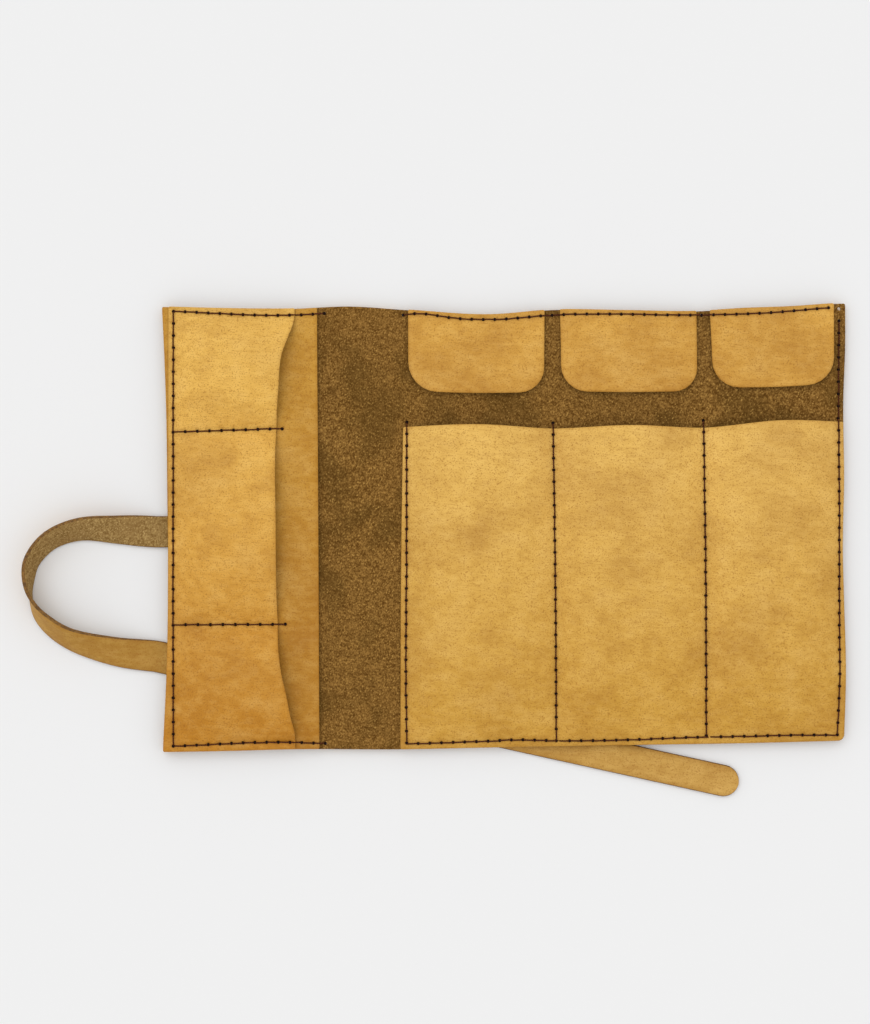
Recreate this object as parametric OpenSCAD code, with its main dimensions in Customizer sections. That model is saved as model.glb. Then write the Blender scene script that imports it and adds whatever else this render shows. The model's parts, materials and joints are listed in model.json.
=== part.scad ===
// Roll-up leather case for pens, lying open with its inside face up.
// X runs along the length of the case, Y from its bottom edge to its top edge, Z up from the table.
// Every module draws in "case coordinates", whose zero is the case's bottom left corner on the
// table, and placed() moves it so that the origin is the bottom centre of the whole object.

/* [Leather] */
// Thickness of the outer leather and of the strap
outer_t = 1.8; // [1.2:0.1:3]
// Thickness of the leather of the pockets and the flaps
pocket_t = 1.4; // [1:0.1:2.2]

/* [Case] */
// Width of the open case, from its bottom edge to its top edge
case_w = 214; // [176:0.5:260]
// Width of the bare spine between the card pockets and the pen pockets
spine_w = 40.5; // [33:0.5:60]
// Distance from each side of the spine to the line where it starts to fold
spine_margin = 8; // [5:0.5:12]
// Radius of the two corners at the right end
corner_r = 3; // [1:0.5:8]
// Distance from the top edge to its stitching
edge_seam = 3; // [2:0.5:6]

/* [Card pockets] */
// Width of the lower card pocket, up to its open edge
card_w = 76; // [63:0.5:92]
// Distance from the left edge of the case to that of the card pockets
card_inset = 0.4; // [0:0.1:3]
// Distance from the left edge of the card pockets to their stitching
card_seam = 4.4; // [2:0.1:7]
// How far the corners of the upper pocket lie behind the open edge of the lower one
card_step = 12; // [8:0.5:20]
// How far the upper pocket is scooped back between its corners
scoop_cut = 8.5; // [3:0.5:14]
// Length of the curve from each corner into the scoop
scoop_run = 49; // [30:1:70]
// Height of the bottom compartment
card_bottom_h = 58; // [45:0.5:72]
// Height of the middle compartment
card_middle_h = 94; // [75:0.5:114]
// How far the lower card pocket stands off the outer leather
lower_bulge = 1.2; // [0.8:0.1:2]
// How far the upper card pocket stands off the lower one
card_bulge = 5.6; // [5.4:0.1:8]

/* [Pen pockets] */
// Width of the pen pocket beside the spine
bay_1_w = 74.4; // [60:0.1:95]
// Width of the middle pen pocket
bay_2_w = 73.3; // [60:0.1:95]
// Width of the pen pocket at the right end
bay_3_w = 67; // [54:0.1:95]
// How far the pen pockets stand off the outer leather
pen_bulge = 5.6; // [5.4:0.1:8]
// Distance from the edge of the pen pockets to their stitching
pocket_seam = 2.5; // [2:0.1:5]
// Distance over which a pen pocket rises from its bottom seam
pocket_rise = 34; // [20:1:60]

/* [Flaps] */
// Distance from the top edge of the case to the lower edge of the flaps
flap_drop = 41.5; // [34:0.5:55]
// Distance from the lower edge of the flaps to the mouths of the pen pockets
mouth_gap = 16; // [8:0.5:30]
// Distance from the left side of a bay to its flap
flap_inset_left = 2.6; // [1:0.1:6]
// Distance from a flap to the right side of its bay
flap_inset_right = 4.5; // [3:0.1:8]
// Radius of the lower corners of the flaps
flap_r = 11; // [4:0.5:16]
// Width of the strip of each flap that is sewn down along the top edge
hem_w = 7.5; // [6.5:0.5:12]

/* [Strap] */
// Width of the strap
strap_w = 15; // [10:0.5:20]
// Length of the end that is sewn to the back of the card section
anchor_len = 55; // [30:1:60]
// Length of the free end beyond the bottom edge of the case
tail_len = 43; // [30:1:120]
// Angle at which the strap runs under the case
strap_angle = 12.4; // [8:0.2:20]

/* [Stitching] */
// Length of one stitch, with the space to the next
stitch_pitch = 5.7; // [4:0.1:8]
// Width of the thread
thread_w = 0.9; // [0.6:0.1:1.4]

/* [Hidden] */

grain = "#c9994a";
suede = "#7d5828";
thread = "#3a1f0c";

$fn = 48;

// Clearances
strap_clear = 0.3;   // between the strap and the case that lies on it
fold_gap = 0.3;      // between two panels at a fold line
flap_clear = 0.3;    // between a loose flap and the outer leather under it
fold_offset = 0.8;   // from a divider's stitching to the fold line beside it

// Levels
under_z = outer_t + strap_clear;
inner_z = under_z + outer_t;
thread_h = thread_w / 2;

// Lines across the length of the case
pen_x = card_w + spine_w;
divider_1_x = pen_x + bay_1_w;
divider_2_x = divider_1_x + bay_2_w;
case_len = divider_2_x + bay_3_w;
fold_spine_x = card_w + spine_margin;
fold_bay_1_x = pen_x - spine_margin;
fold_bay_2_x = divider_1_x + fold_offset;
fold_bay_3_x = divider_2_x + fold_offset;

// Each bay: [left fold, left side of its pocket, left side of its flap area, right fold, divider]
BAYS = [
    [fold_bay_1_x, pen_x, pen_x, fold_bay_2_x, divider_1_x],
    [fold_bay_2_x, fold_bay_2_x, divider_1_x, fold_bay_3_x, divider_2_x],
    [fold_bay_3_x, fold_bay_3_x, divider_2_x, case_len, case_len]
];

// Lines across the width of the case
mouth_y = case_w - flap_drop - mouth_gap;
top_seam_y = case_w - edge_seam;
flap_fold_y = case_w - hem_w;
flap_low_y = case_w - flap_drop;
card_seam_x = card_inset + card_seam;
card_low_y = pocket_seam;
card_mid_y = card_low_y + card_bottom_h;
card_high_y = card_mid_y + card_middle_h;
upper_corner_x = card_w - card_step;

// Flat leather left on each side of a line of stitches
seam_flat = thread_w / 2 + 0.4;

// Shape of the pockets
arch_power = 3;
arch_steps = 12;
rise_steps = 7;
depth_steps = 6;
card_rise = 22;
card_steps = 9;
scoop_power = 2.6;

// Route of the loose loop, from where the strap comes out at the left edge to where it goes
// back under: [X, Y from the anchored end, twist in degrees]. The suede side is up at 0.
LOOP = [
    [-4, 0, 0], [-22, 1, 28], [-40, 1.5, 47], [-55, -3.5, 59], [-64, -13, 70], [-66.5, -23, 82],
    [-65, -33, 100], [-58.5, -43, 120], [-45, -52, 133], [-24, -57.5, 156], [-4, -59.7, 180]
];
loop_steps = 4;
anchor_y = case_w / 2 - 2.7;
strap_dir = [cos(strap_angle), -sin(strap_angle)];
strap_side = [sin(strap_angle), cos(strap_angle)];
exit_clear = 2;
back_start = [LOOP[len(LOOP) - 1].x, anchor_y + LOOP[len(LOOP) - 1].y];
back_len = (back_start.y + strap_w / 2 * strap_side.y + exit_clear) / -strap_dir.y;
back_end = back_start + back_len * strap_dir;
tail_centre = back_end + (tail_len - strap_w / 2) * strap_dir;

// ---- Curves ----

// Height share across a pocket: 0 at both seams, flat in the middle
function arch(s) = s <= 0 || s >= 1 ? 0 : 1 - pow(abs(2 * s - 1), arch_power);

// Height share away from a seam: 0 at the seam, 1 from "run" on
function rise(d, run) = d <= 0 ? 0 : d >= run ? 1 : sin(90 * d / run);

// Numbers from a to b in n steps
function steps(a, b, n) = [for (i = [0:n]) a + (b - a) * i / n];

// A list without its last entry
function but_last(list) = [for (i = [0:len(list) - 2]) list[i]];

// Smooth curve through four entries, from the second to the third
function through(a, b, c, d, t) =
    0.5 * (2 * b + (c - a) * t + (2 * a - 5 * b + 4 * c - d) * t * t
    + (3 * b - a - 3 * c + d) * t * t * t);

function clamped(v, low, high) = min(max(v, low), high);

// ---- Card pockets ----

// Share of the bulge at a height y, which is 0 on the four seams across the card section
function card_arch(y) =
    y < card_mid_y ? arch(within(y, card_low_y, card_mid_y))
    : y < card_high_y ? arch(within(y, card_mid_y, card_high_y))
    : arch(within(y, card_high_y, top_seam_y));

// Place of y between two seams, past the flat leather beside each
function within(y, low, high) = (y - low - seam_flat) / (high - low - 2 * seam_flat);

function card_swell(x, y) = card_arch(y) * rise(x - card_seam_x - seam_flat, card_rise);

// Open edge of the upper pocket
function scoop_share(e) = 1 - pow(1 - clamped(e / scoop_run, 0, 1), scoop_power);
function scoop_x(y) =
    upper_corner_x - scoop_cut * scoop_share(min(y - card_low_y, top_seam_y - y) - edge_seam);

// Heights at which the card pockets have a row of points
card_rows = concat(
    [0, card_low_y],
    but_last(steps(card_low_y + seam_flat, card_mid_y - seam_flat, card_steps)),
    [card_mid_y - seam_flat],
    but_last(steps(card_mid_y + seam_flat, card_high_y - seam_flat, arch_steps)),
    [card_high_y - seam_flat],
    but_last(steps(card_high_y + seam_flat, top_seam_y - seam_flat, card_steps)),
    [top_seam_y - seam_flat, case_w]
);

// ---- Shells ----

// A closed sheet of thickness t over a grid of points that lie on its lower side
module shell(grid, t) {
    rows = len(grid);
    cols = len(grid[0]);
    n = rows * cols;
    low = [for (row = grid) for (p = row) p];
    high = [for (p = low) p + [0, 0, t]];
    rim = concat(
        [for (c = [0:cols - 1]) c],
        [for (r = [1:rows - 1]) r * cols + cols - 1],
        [for (c = [cols - 2:-1:0]) (rows - 1) * cols + c],
        [for (r = [rows - 2:-1:1]) r * cols]
    );
    m = len(rim);
    cells = [for (r = [0:rows - 2]) for (c = [0:cols - 2]) r * cols + c];
    faces = concat(
        [for (k = cells) [k, k + 1, k + cols + 1]],
        [for (k = cells) [k, k + cols + 1, k + cols]],
        [for (k = cells) [n + k, n + k + cols + 1, n + k + 1]],
        [for (k = cells) [n + k, n + k + cols, n + k + cols + 1]],
        [for (i = [0:m - 1]) [rim[i], n + rim[i], n + rim[(i + 1) % m]]],
        [for (i = [0:m - 1]) [rim[i], n + rim[(i + 1) % m], rim[(i + 1) % m]]]
    );
    polyhedron(points = concat(low, high), faces = faces, convexity = 6);
}

// A flat piece of outer leather, with its two right corners rounded by r
module panel(x0, x1, r = 0) {
    translate([x0, 0, under_z])
        linear_extrude(outer_t) {
            square([x1 - x0 - r, case_w]);
            if (r > 0) {
                translate([0, r])
                    square([x1 - x0, case_w - 2 * r]);
                for (y = [r, case_w - r])
                    translate([x1 - x0 - r, y])
                        circle(r);
            }
        }
}

// ---- Stitching ----

// One stitch along X from the origin, lying on the leather
module stitch(length, height) {
    tip = thread_w / 2;
    linear_extrude(height)
        polygon([
            [0, 0], [tip, -tip], [length - tip, -tip],
            [length, 0], [length - tip, tip], [tip, tip]
        ]);
}

// A row of stitches from a to b on the leather's surface at z
module seam(a, b, z, height = thread_h) {
    run = norm(b - a);
    count = round(run / stitch_pitch);
    pitch = run / count;
    length = pitch - 1;
    for (i = [0:count - 1])
        translate([each (a + (b - a) * (i + 0.5) / count), z])
            rotate([0, 0, atan2(b.y - a.y, b.x - a.x)])
                translate([-length / 2, 0, 0])
                    stitch(length, height);
}

// ---- The object's frame ----

loop_twist = [for (p = LOOP) [p.x, p.y + anchor_y, p.z]];
loop_last = len(LOOP) - 1;
loop_curve = [
    for (i = [0:loop_last - 1])
        for (k = [0:loop_steps - 1])
            through(
                loop_twist[max(i - 1, 0)], loop_twist[i],
                loop_twist[i + 1], loop_twist[min(i + 2, loop_last)], k / loop_steps
            )
];

// The strap's whole route up to the tail: [X, Y, twist, height of its underside]
strap_route = concat(
    [for (x = [anchor_len, anchor_len / 2, 0]) [x, anchor_y, 0, strap_clear]],
    [for (p = loop_curve) [p.x, p.y, clamped(p.z, 0, 180), 0]],
    [for (s = steps(0, back_len, 8)) [each (back_start + s * strap_dir), 180, 0]]
);

// The four corners of the strap at one point of its route
function strap_ring(i) =
    let (
        last = len(strap_route) - 1,
        p = strap_route[i],
        a = strap_route[max(i - 1, 0)],
        b = strap_route[min(i + 1, last)],
        along = [b.x - a.x, b.y - a.y] / norm([b.x - a.x, b.y - a.y]),
        right = [along.y, -along.x],
        u = [cos(p[2]) * right.x, cos(p[2]) * right.y, sin(p[2])] * strap_w / 2,
        n = [-sin(p[2]) * right.x, -sin(p[2]) * right.y, cos(p[2])] * outer_t / 2,
        centre = [p.x, p.y, p[3] + abs(u.z) + abs(n.z)]
    )
    [centre - u - n, centre + u - n, centre + u + n, centre - u + n];

strap_rings = [for (i = [0:len(strap_route) - 1]) strap_ring(i)];
low_x = min([for (ring = strap_rings) for (p = ring) p.x]);
low_y = tail_centre.y - strap_w / 2;
origin = [(low_x + case_len) / 2, (low_y + case_w) / 2, 0];

module placed() {
    translate(-origin)
        children();
}

// ---- Sub-parts: outer leather ----

module outer_panel_card() {
    color(suede)
        placed()
            panel(0, fold_spine_x - fold_gap / 2);
}

module outer_panel_spine() {
    color(suede)
        placed()
            panel(fold_spine_x + fold_gap / 2, fold_bay_1_x - fold_gap / 2);
}

// bay counts from 0 at the spine
module outer_panel_bay(bay) {
    last = bay == len(BAYS) - 1;
    color(suede)
        placed()
            panel(BAYS[bay][0] + fold_gap / 2, BAYS[bay][3] - (last ? 0 : fold_gap / 2),
                last ? corner_r : 0);
}

// ---- Sub-parts: card pockets ----

module card_pocket_lower() {
    columns = concat([card_inset, card_seam_x + seam_flat],
        steps(card_seam_x + seam_flat + card_rise / 4, card_w, card_steps));
    color(grain)
        placed()
            shell([for (y = card_rows)
                [for (x = columns) [x, y, inner_z + lower_bulge * card_swell(x, y)]]], pocket_t);
}

module card_pocket_scooped() {
    start = card_seam_x + seam_flat;
    color(grain)
        placed()
            shell([for (y = card_rows)
                [for (x = concat([card_inset, start], steps(start + card_rise / 4, scoop_x(y), card_steps)))
                    [x, y, inner_z + pocket_t + (lower_bulge + card_bulge) * card_swell(x, y)]]],
                pocket_t);
}

// ---- Sub-parts: pen pockets and flaps ----

module pen_pocket(bay) {
    last = bay == len(BAYS) - 1;
    x0 = BAYS[bay][1] + (bay == 0 ? 0 : fold_gap / 2);
    x1 = BAYS[bay][3] - (last ? 0 : fold_gap / 2);
    flat_left = bay == 0 ? pocket_seam + seam_flat : seam_flat;
    flat_right = last ? pocket_seam + seam_flat : x1 - BAYS[bay][4] + seam_flat;
    a = x0 + flat_left;
    b = x1 - flat_right;
    floor_y = pocket_seam + seam_flat;
    rows = concat([0], but_last(steps(floor_y, floor_y + pocket_rise, rise_steps)),
        steps(floor_y + pocket_rise, mouth_y, depth_steps));
    columns = concat([x0], steps(a, b, arch_steps), [x1]);
    color(grain)
        placed()
            shell([for (y = rows)
                [for (x = columns)
                    [x, y, inner_z + pen_bulge * arch((x - a) / (b - a)) * rise(y - floor_y, pocket_rise)]]],
                pocket_t);
}

function flap_left(bay) = BAYS[bay][2] + flap_inset_left;
function flap_right(bay) = BAYS[bay][4] - flap_inset_right;

// The strip of a flap that is sewn down along the top edge
module flap_hem(bay) {
    color(grain)
        placed()
            translate([flap_left(bay), flap_fold_y + fold_gap / 2, inner_z])
                linear_extrude(pocket_t)
                    square([flap_right(bay) - flap_left(bay), hem_w - fold_gap / 2]);
}

// The loose part of a flap, which lies over the ends of the pens
module flap(bay) {
    w = flap_right(bay) - flap_left(bay);
    drop = flap_fold_y - fold_gap / 2 - flap_low_y;
    color(grain)
        placed()
            translate([flap_left(bay), flap_low_y, inner_z + flap_clear])
                linear_extrude(pocket_t) {
                    translate([0, flap_r])
                        square([w, drop - flap_r]);
                    translate([flap_r, 0])
                        square([w - 2 * flap_r, flap_r]);
                    for (x = [flap_r, w - flap_r])
                        translate([x, flap_r])
                            circle(flap_r);
                }
}

// ---- Sub-parts: strap ----

// Sewn end, loose loop and the length that runs under the case
module strap() {
    corners = 4;
    last = len(strap_rings) - 1;
    color(suede)
        placed()
            polyhedron(
                points = [for (ring = strap_rings) for (p = ring) p],
                faces = concat(
                    [[0, 1, 2], [0, 2, 3]],
                    [for (i = [0:last - 1]) for (k = [0:corners - 1])
                        [i * corners + k, (i + 1) * corners + k, i * corners + (k + 1) % corners]],
                    [for (i = [0:last - 1]) for (k = [0:corners - 1])
                        [(i + 1) * corners + k, (i + 1) * corners + (k + 1) % corners,
                            i * corners + (k + 1) % corners]],
                    [[last * corners, last * corners + 2, last * corners + 1],
                        [last * corners, last * corners + 3, last * corners + 2]]
                ),
                convexity = 6
            );
}

// Free end with its round tip
module strap_tail() {
    color(grain)
        placed()
            translate([each back_end, 0])
                rotate([0, 0, -strap_angle])
                    linear_extrude(outer_t) {
                        translate([fold_gap, -strap_w / 2])
                            square([tail_len - strap_w / 2 - fold_gap, strap_w]);
                        translate([tail_len - strap_w / 2, 0])
                            circle(d = strap_w);
                    }
}

// Box of stitches that holds the strap to the back of the card section
module thread_strap_anchor() {
    side = strap_w / 2 - pocket_seam;
    x0 = anchor_len / 2;
    x1 = anchor_len - pocket_seam;
    color(thread)
        placed() {
            for (y = [anchor_y - side, anchor_y + side])
                seam([x0 + thread_w, y], [x1 - thread_w, y], 0, strap_clear);
            for (x = [x0, x1])
                seam([x, anchor_y - side + thread_w], [x, anchor_y + side - thread_w], 0, strap_clear);
        }
}

// ---- Sub-parts: stitching of the card pockets ----

// The rows across the card section run over the upper pocket and then onto the lower one
module card_row(y, x0, x_step, x1) {
    color(thread)
        placed() {
            seam([x0, y], [x_step, y], inner_z + 2 * pocket_t);
            seam([x_step, y], [x1, y], inner_z + pocket_t);
        }
}

module thread_card_left() {
    color(thread)
        placed()
            seam([card_seam_x, card_low_y], [card_seam_x, top_seam_y], inner_z + 2 * pocket_t);
}

module thread_card_top() {
    card_row(top_seam_y, card_seam_x + thread_w, upper_corner_x, card_w);
}

module thread_card_bottom() {
    card_row(card_low_y, card_seam_x + thread_w, upper_corner_x, card_w);
}

module thread_card_divider_upper() {
    card_row(card_high_y, card_seam_x + thread_w, scoop_x(card_high_y),
        scoop_x(card_high_y) + stitch_pitch);
}

module thread_card_divider_lower() {
    card_row(card_mid_y, card_seam_x + thread_w, scoop_x(card_mid_y),
        scoop_x(card_mid_y) + stitch_pitch);
}

// ---- Sub-parts: stitching of the pen pockets and flaps ----

// A row up the side of a pen pocket, from the bottom seam to its mouth
module pen_side_row(x) {
    color(thread)
        placed()
            seam([x, pocket_seam + thread_w], [x, mouth_y], inner_z + pocket_t);
}

module pen_bottom_row(bay) {
    x0 = bay == 0 ? pen_x + pocket_seam : BAYS[bay][1] + fold_gap;
    x1 = BAYS[bay][4] - (bay == len(BAYS) - 1 ? pocket_seam : 0);
    color(thread)
        placed()
            seam([x0 + thread_w, pocket_seam], [x1 - thread_w, pocket_seam], inner_z + pocket_t);
}

module flap_row(bay) {
    color(thread)
        placed()
            seam([flap_left(bay) + thread_w, top_seam_y], [flap_right(bay) - thread_w, top_seam_y],
                inner_z + pocket_t);
}

// ---- What is drawn ----

outer_panel_card();
card_pocket_lower();
card_pocket_scooped();
thread_card_left();
thread_card_top();
thread_card_bottom();
thread_card_divider_upper();
thread_card_divider_lower();
strap();
strap_tail();
thread_strap_anchor();
outer_panel_spine();
outer_panel_bay(0);  // outer_panel_bay_1
outer_panel_bay(1);  // outer_panel_bay_2
outer_panel_bay(2);  // outer_panel_bay_3
pen_pocket(0);  // pen_pocket_1
pen_pocket(1);  // pen_pocket_2
pen_pocket(2);  // pen_pocket_3
flap_hem(0);  // flap_hem_1
flap_hem(1);  // flap_hem_2
flap_hem(2);  // flap_hem_3
flap(0);  // flap_1
flap(1);  // flap_2
flap(2);  // flap_3
pen_side_row(pen_x + pocket_seam);  // thread_pen_left
pen_side_row(divider_1_x);  // thread_divider_1
pen_side_row(divider_2_x);  // thread_divider_2
pen_side_row(case_len - pocket_seam);  // thread_pen_right
pen_bottom_row(0);  // thread_pen_bottom_1
pen_bottom_row(1);  // thread_pen_bottom_2
pen_bottom_row(2);  // thread_pen_bottom_3
flap_row(0);  // thread_flap_1
flap_row(1);  // thread_flap_2
flap_row(2);  // thread_flap_3
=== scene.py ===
"""Roll-up leather case for pens, lying open with its inside face up.

Plans are drawn in case millimetres: X along the case and Y across it from its bottom left corner, and
heights above the table. in_frame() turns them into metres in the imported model's frame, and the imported
nodes give the lines, levels and folds that the plans start from.
"""

import json
import logging
import math
import random
from collections.abc import Callable, Sequence
from dataclasses import dataclass, field
from enum import Enum, IntEnum
from typing import Any

import bpy
import numpy as np
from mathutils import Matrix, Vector
from mathutils.geometry import delaunay_2d_cdt


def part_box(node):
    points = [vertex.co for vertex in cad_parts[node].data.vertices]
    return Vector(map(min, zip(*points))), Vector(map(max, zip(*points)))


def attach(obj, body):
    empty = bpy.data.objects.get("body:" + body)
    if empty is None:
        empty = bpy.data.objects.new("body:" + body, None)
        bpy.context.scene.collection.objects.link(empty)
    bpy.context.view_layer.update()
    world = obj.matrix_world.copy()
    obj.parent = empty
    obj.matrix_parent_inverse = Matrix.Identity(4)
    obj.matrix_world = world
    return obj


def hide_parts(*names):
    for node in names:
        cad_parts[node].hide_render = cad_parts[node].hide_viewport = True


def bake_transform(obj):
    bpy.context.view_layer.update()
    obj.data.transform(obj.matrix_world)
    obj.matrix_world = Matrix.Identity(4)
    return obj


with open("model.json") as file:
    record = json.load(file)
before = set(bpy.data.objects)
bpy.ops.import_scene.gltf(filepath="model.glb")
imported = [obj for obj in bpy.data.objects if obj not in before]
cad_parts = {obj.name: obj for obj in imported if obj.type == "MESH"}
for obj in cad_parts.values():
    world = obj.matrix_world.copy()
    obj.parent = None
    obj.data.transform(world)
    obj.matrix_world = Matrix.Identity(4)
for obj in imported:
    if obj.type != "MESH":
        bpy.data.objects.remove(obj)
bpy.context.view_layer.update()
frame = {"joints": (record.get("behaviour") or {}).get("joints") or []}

log = logging.getLogger("pen_case")

MM = 0.001
CASE_ZERO = Vector((*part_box("outer_panel_card")[0].xy, 0.0))

Array = np.ndarray
Line = Callable[[Array], Array]
Surface = Callable[[Array, Array], Array]


class Slot(Enum):
    """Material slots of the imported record."""

    GRAIN = "grain_leather"
    SUEDE = "suede_leather"
    THREAD = "thread"


class Side(IntEnum):
    """Which finish of a piece of leather a face has, in the order that the finishes are given."""

    UPPER = 0
    UNDER = 1
    EDGE = 2
    HOLE = 3


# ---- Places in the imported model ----


def span(node: str) -> tuple[Vector, Vector]:
    """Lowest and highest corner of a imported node, in case millimetres."""
    low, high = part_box(node)
    return (low - CASE_ZERO) / MM, (high - CASE_ZERO) / MM


def middle(node: str) -> Vector:
    """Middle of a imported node's box, in case millimetres."""
    low, high = span(node)
    return (low + high) / 2


def in_frame(points: Array) -> Array:
    """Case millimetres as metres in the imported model's frame."""
    return points * MM + np.array(CASE_ZERO)


@dataclass(frozen=True)
class CaseSizes:
    """Lines and levels of the case, in case millimetres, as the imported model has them."""

    length: float = span("outer_panel_bay_3")[1].x
    width: float = span("outer_panel_card")[1].y
    under_z: float = span("outer_panel_card")[0].z
    inner_z: float = span("outer_panel_card")[1].z
    pocket_t: float = span("flap_hem_1")[1].z - span("flap_hem_1")[0].z
    card_w: float = span("card_pocket_lower")[1].x
    upper_corner_x: float = span("card_pocket_scooped")[1].x
    pen_x: float = span("pen_pocket_1")[0].x
    mouth_y: float = span("pen_pocket_1")[1].y
    lower_bulge: float = 1.2
    upper_bulge: float = 6.8
    pen_bulge: float = 5.6

    @property
    def outer_t(self) -> float:
        """Thickness of the outer leather."""
        return self.inner_z - self.under_z


CASE = CaseSizes()


@dataclass(frozen=True)
class Fold:
    """A stretch of leather that bends with one joint, between two points in case millimetres."""

    joint: str
    start: tuple[float, float]
    end: tuple[float, float]

    @classmethod
    def across(cls, joint: str, start: float, end: float) -> "Fold":
        """A fold that runs across the whole case, from one place along it to another."""
        return cls(joint, (start, CASE.width / 2), (end, CASE.width / 2))

    def bend(self, piece: bpy.types.Object) -> None:
        """Bakes the piece's placement into its mesh; it isn't bent over this stretch."""
        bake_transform(piece)


# Each fold line bends over a stretch as long as the arc that the leather makes round its pivot, but
# the two beside a divider stay between the flaps.
SPINE_FOLD = Fold.across("spine_fold", 78.2, 89.8)
BAY_1_FOLD = Fold.across("bay_1_fold", 102.7, 114.3)
BAY_2_FOLD = Fold.across("bay_2_fold", 185.7, 192.9)
BAY_3_FOLD = Fold.across("bay_3_fold", 260.0, 265.8)


def carry(piece: bpy.types.Object, carrier: "Fold | str") -> None:
    """Makes a piece ride on a body, or, for a fold, bakes its placement into its mesh."""
    if isinstance(carrier, Fold):
        carrier.bend(piece)
    else:
        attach(piece, carrier)


# ---- Hand-cut and hand-sewn lines ----


def eased(along: Array, places: Sequence[float], values: Sequence[float]) -> Array:
    """Smooth curve through a few values.

    Args:
        along: Where the curve is read.
        places: Where each value stands, in rising order.
        values: The values that the curve goes through.

    Returns:
        The curve's values, level beyond its two ends.
    """
    x = np.asarray(places, float)
    y = np.asarray(values, float)
    slope = np.gradient(y, x)
    i = np.clip(np.searchsorted(x, along) - 1, 0, len(x) - 2)
    h = x[i + 1] - x[i]
    t = np.clip((along - x[i]) / h, 0, 1)
    rising = t * t * (3 - 2 * t)
    bend = h * t * (1 - t) * ((1 - t) * slope[i] - t * slope[i + 1])
    return y[i] * (1 - rising) + y[i + 1] * rising + bend


@dataclass(frozen=True)
class Guide:
    """A straight line of the case as a hand cut or sewed it: small offsets at a few places along it."""

    base: float
    wander: tuple[tuple[float, float], ...]

    def __call__(self, along: Array) -> Array:
        """Where the line is across the case, at places along it."""
        places, offsets = zip(*self.wander)
        return self.base + eased(np.asarray(along, float), places, offsets)

    def moved(self, by: float) -> "Guide":
        """The same line, moved across the case."""
        return Guide(self.base + by, self.wander)


def level(value: float) -> Guide:
    """A dead straight line."""
    return Guide(value, ((0.0, 0.0), (1.0, 0.0)))


OUTER_TOP = Guide(CASE.width, (
    (0, 0.0), (30, -0.8), (60, -1.0), (92, 0.2), (118, -1.5), (160, -3.8), (190, -1.5), (225, -1.8),
    (259, -2.2), (282, -0.8), (306, 0.1), (329, 1.6), (332, 1.7)))
OUTER_BOTTOM = Guide(0, (
    (0, -3.1), (30, -2.6), (60, -1.8), (118, -1.8), (153, -1.1), (223, 0.2), (290, 1.3), (331, 2.4)))
OUTER_LEFT = Guide(0, ((0, -0.2), (40, 1.6), (90, 2.2), (120, 1.8), (160, 1.3), (193, 0.2), (214, -0.8)))
OUTER_RIGHT = Guide(CASE.length, (
    (3, 0.8), (35, 1.7), (71, 0.8), (95, 0.2), (130, 0.8), (169, 0.4), (195, 1.3), (214, 1.3)))
UPPER_LEFT = Guide(2.4, ((0, -2.4), (40, -0.6), (107, 0.0), (214, 0.2)))
CARD_EDGE = Guide(CASE.card_w, ((0, 0.1), (107, -0.4), (214, -1.1)))
SCOOP = Guide(CASE.upper_corner_x, (
    (0, 0.4), (6, 0.3), (15, -1.7), (26, -3.8), (35, -5.9), (47, -7.5), (60, -8.1), (107, -8.7),
    (154, -8.8), (173, -7.5), (192, -5.4), (199, -2.8), (207, -0.2), (214, 0.1)))
PEN_LEFT = Guide(CASE.pen_x, ((0, -1.0), (90, -0.7), (156, 0.3)))
MOUTH = Guide(CASE.mouth_y, (
    (116, -1.1), (153, 0.1), (190, -1.8), (228, -0.3), (263, -1.4), (302, 2.1), (331, 1.5)))

CARD_LEFT_SEAM = Guide(middle("thread_card_left").x, ((0, 0.2), (60, 0.1), (150, 0.1), (212, 0.3)))
CARD_BOTTOM_SEAM = Guide(middle("thread_card_bottom").y, ((5, -2.5), (62, -0.7), (72, -1.1), (79, -1.4)))
CARD_TOP_SEAM = Guide(middle("thread_card_top").y, ((5, 0.6), (64, -1.1), (72, -0.7), (79, -0.1)))
CARD_UPPER_SEAM = Guide(middle("thread_card_divider_upper").y, ((5, -1.6), (56, 0.0)))
CARD_LOWER_SEAM = Guide(middle("thread_card_divider_lower").y, ((5, -1.4), (60, -1.2)))
PEN_LEFT_SEAM = Guide(middle("thread_pen_left").x, ((1, -0.4), (30, -0.8), (90, -0.5), (158, -0.4)))
DIVIDER_1_SEAM = Guide(middle("thread_divider_1").x, ((2, 0.6), (80, 0.1), (158, -1.0)))
DIVIDER_2_SEAM = Guide(middle("thread_divider_2").x, ((4, 0.4), (80, 0.1), (158, -0.9)))
RIGHT_SEAM = Guide(middle("thread_pen_right").x, (
    (5, -0.3), (17, 0.25), (34, 1.0), (51, 0.8), (120, 0.7), (158, 0.4), (213, 0.8)))
PEN_BOTTOM_SEAM = Guide(middle("thread_pen_bottom_1").y, (
    (119, -1.5), (130, -1.2), (141, -0.8), (152, -0.45), (163, 0.0), (170, 0.4), (191, 0.0), (228, 0.5),
    (241, 1.0), (253, 1.55), (265, 1.8), (277, 2.05), (290, 2.35), (323, 2.8), (329, 2.7)))
FLAP_SEAM = Guide(middle("thread_flap_1").y, (
    (117, -0.9), (122, -0.4), (144, -2.8), (161, -3.2), (189, -1.1), (269, -0.9), (292, -0.1), (324, 2.5)))


# ---- Heights of the layers ----


def arch(share: Array, power: float = 3) -> Array:
    """Height share across a pocket: 0 at both seams, flat in the middle."""
    return np.where((share > 0) & (share < 1), 1 - np.abs(2 * share - 1) ** power, 0.0)


def rise(distance: Array, run: float) -> Array:
    """Height share away from a seam: 0 at the seam, 1 from run on."""
    return np.sin(np.clip(distance / run, 0, 1) * math.pi / 2)


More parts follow.
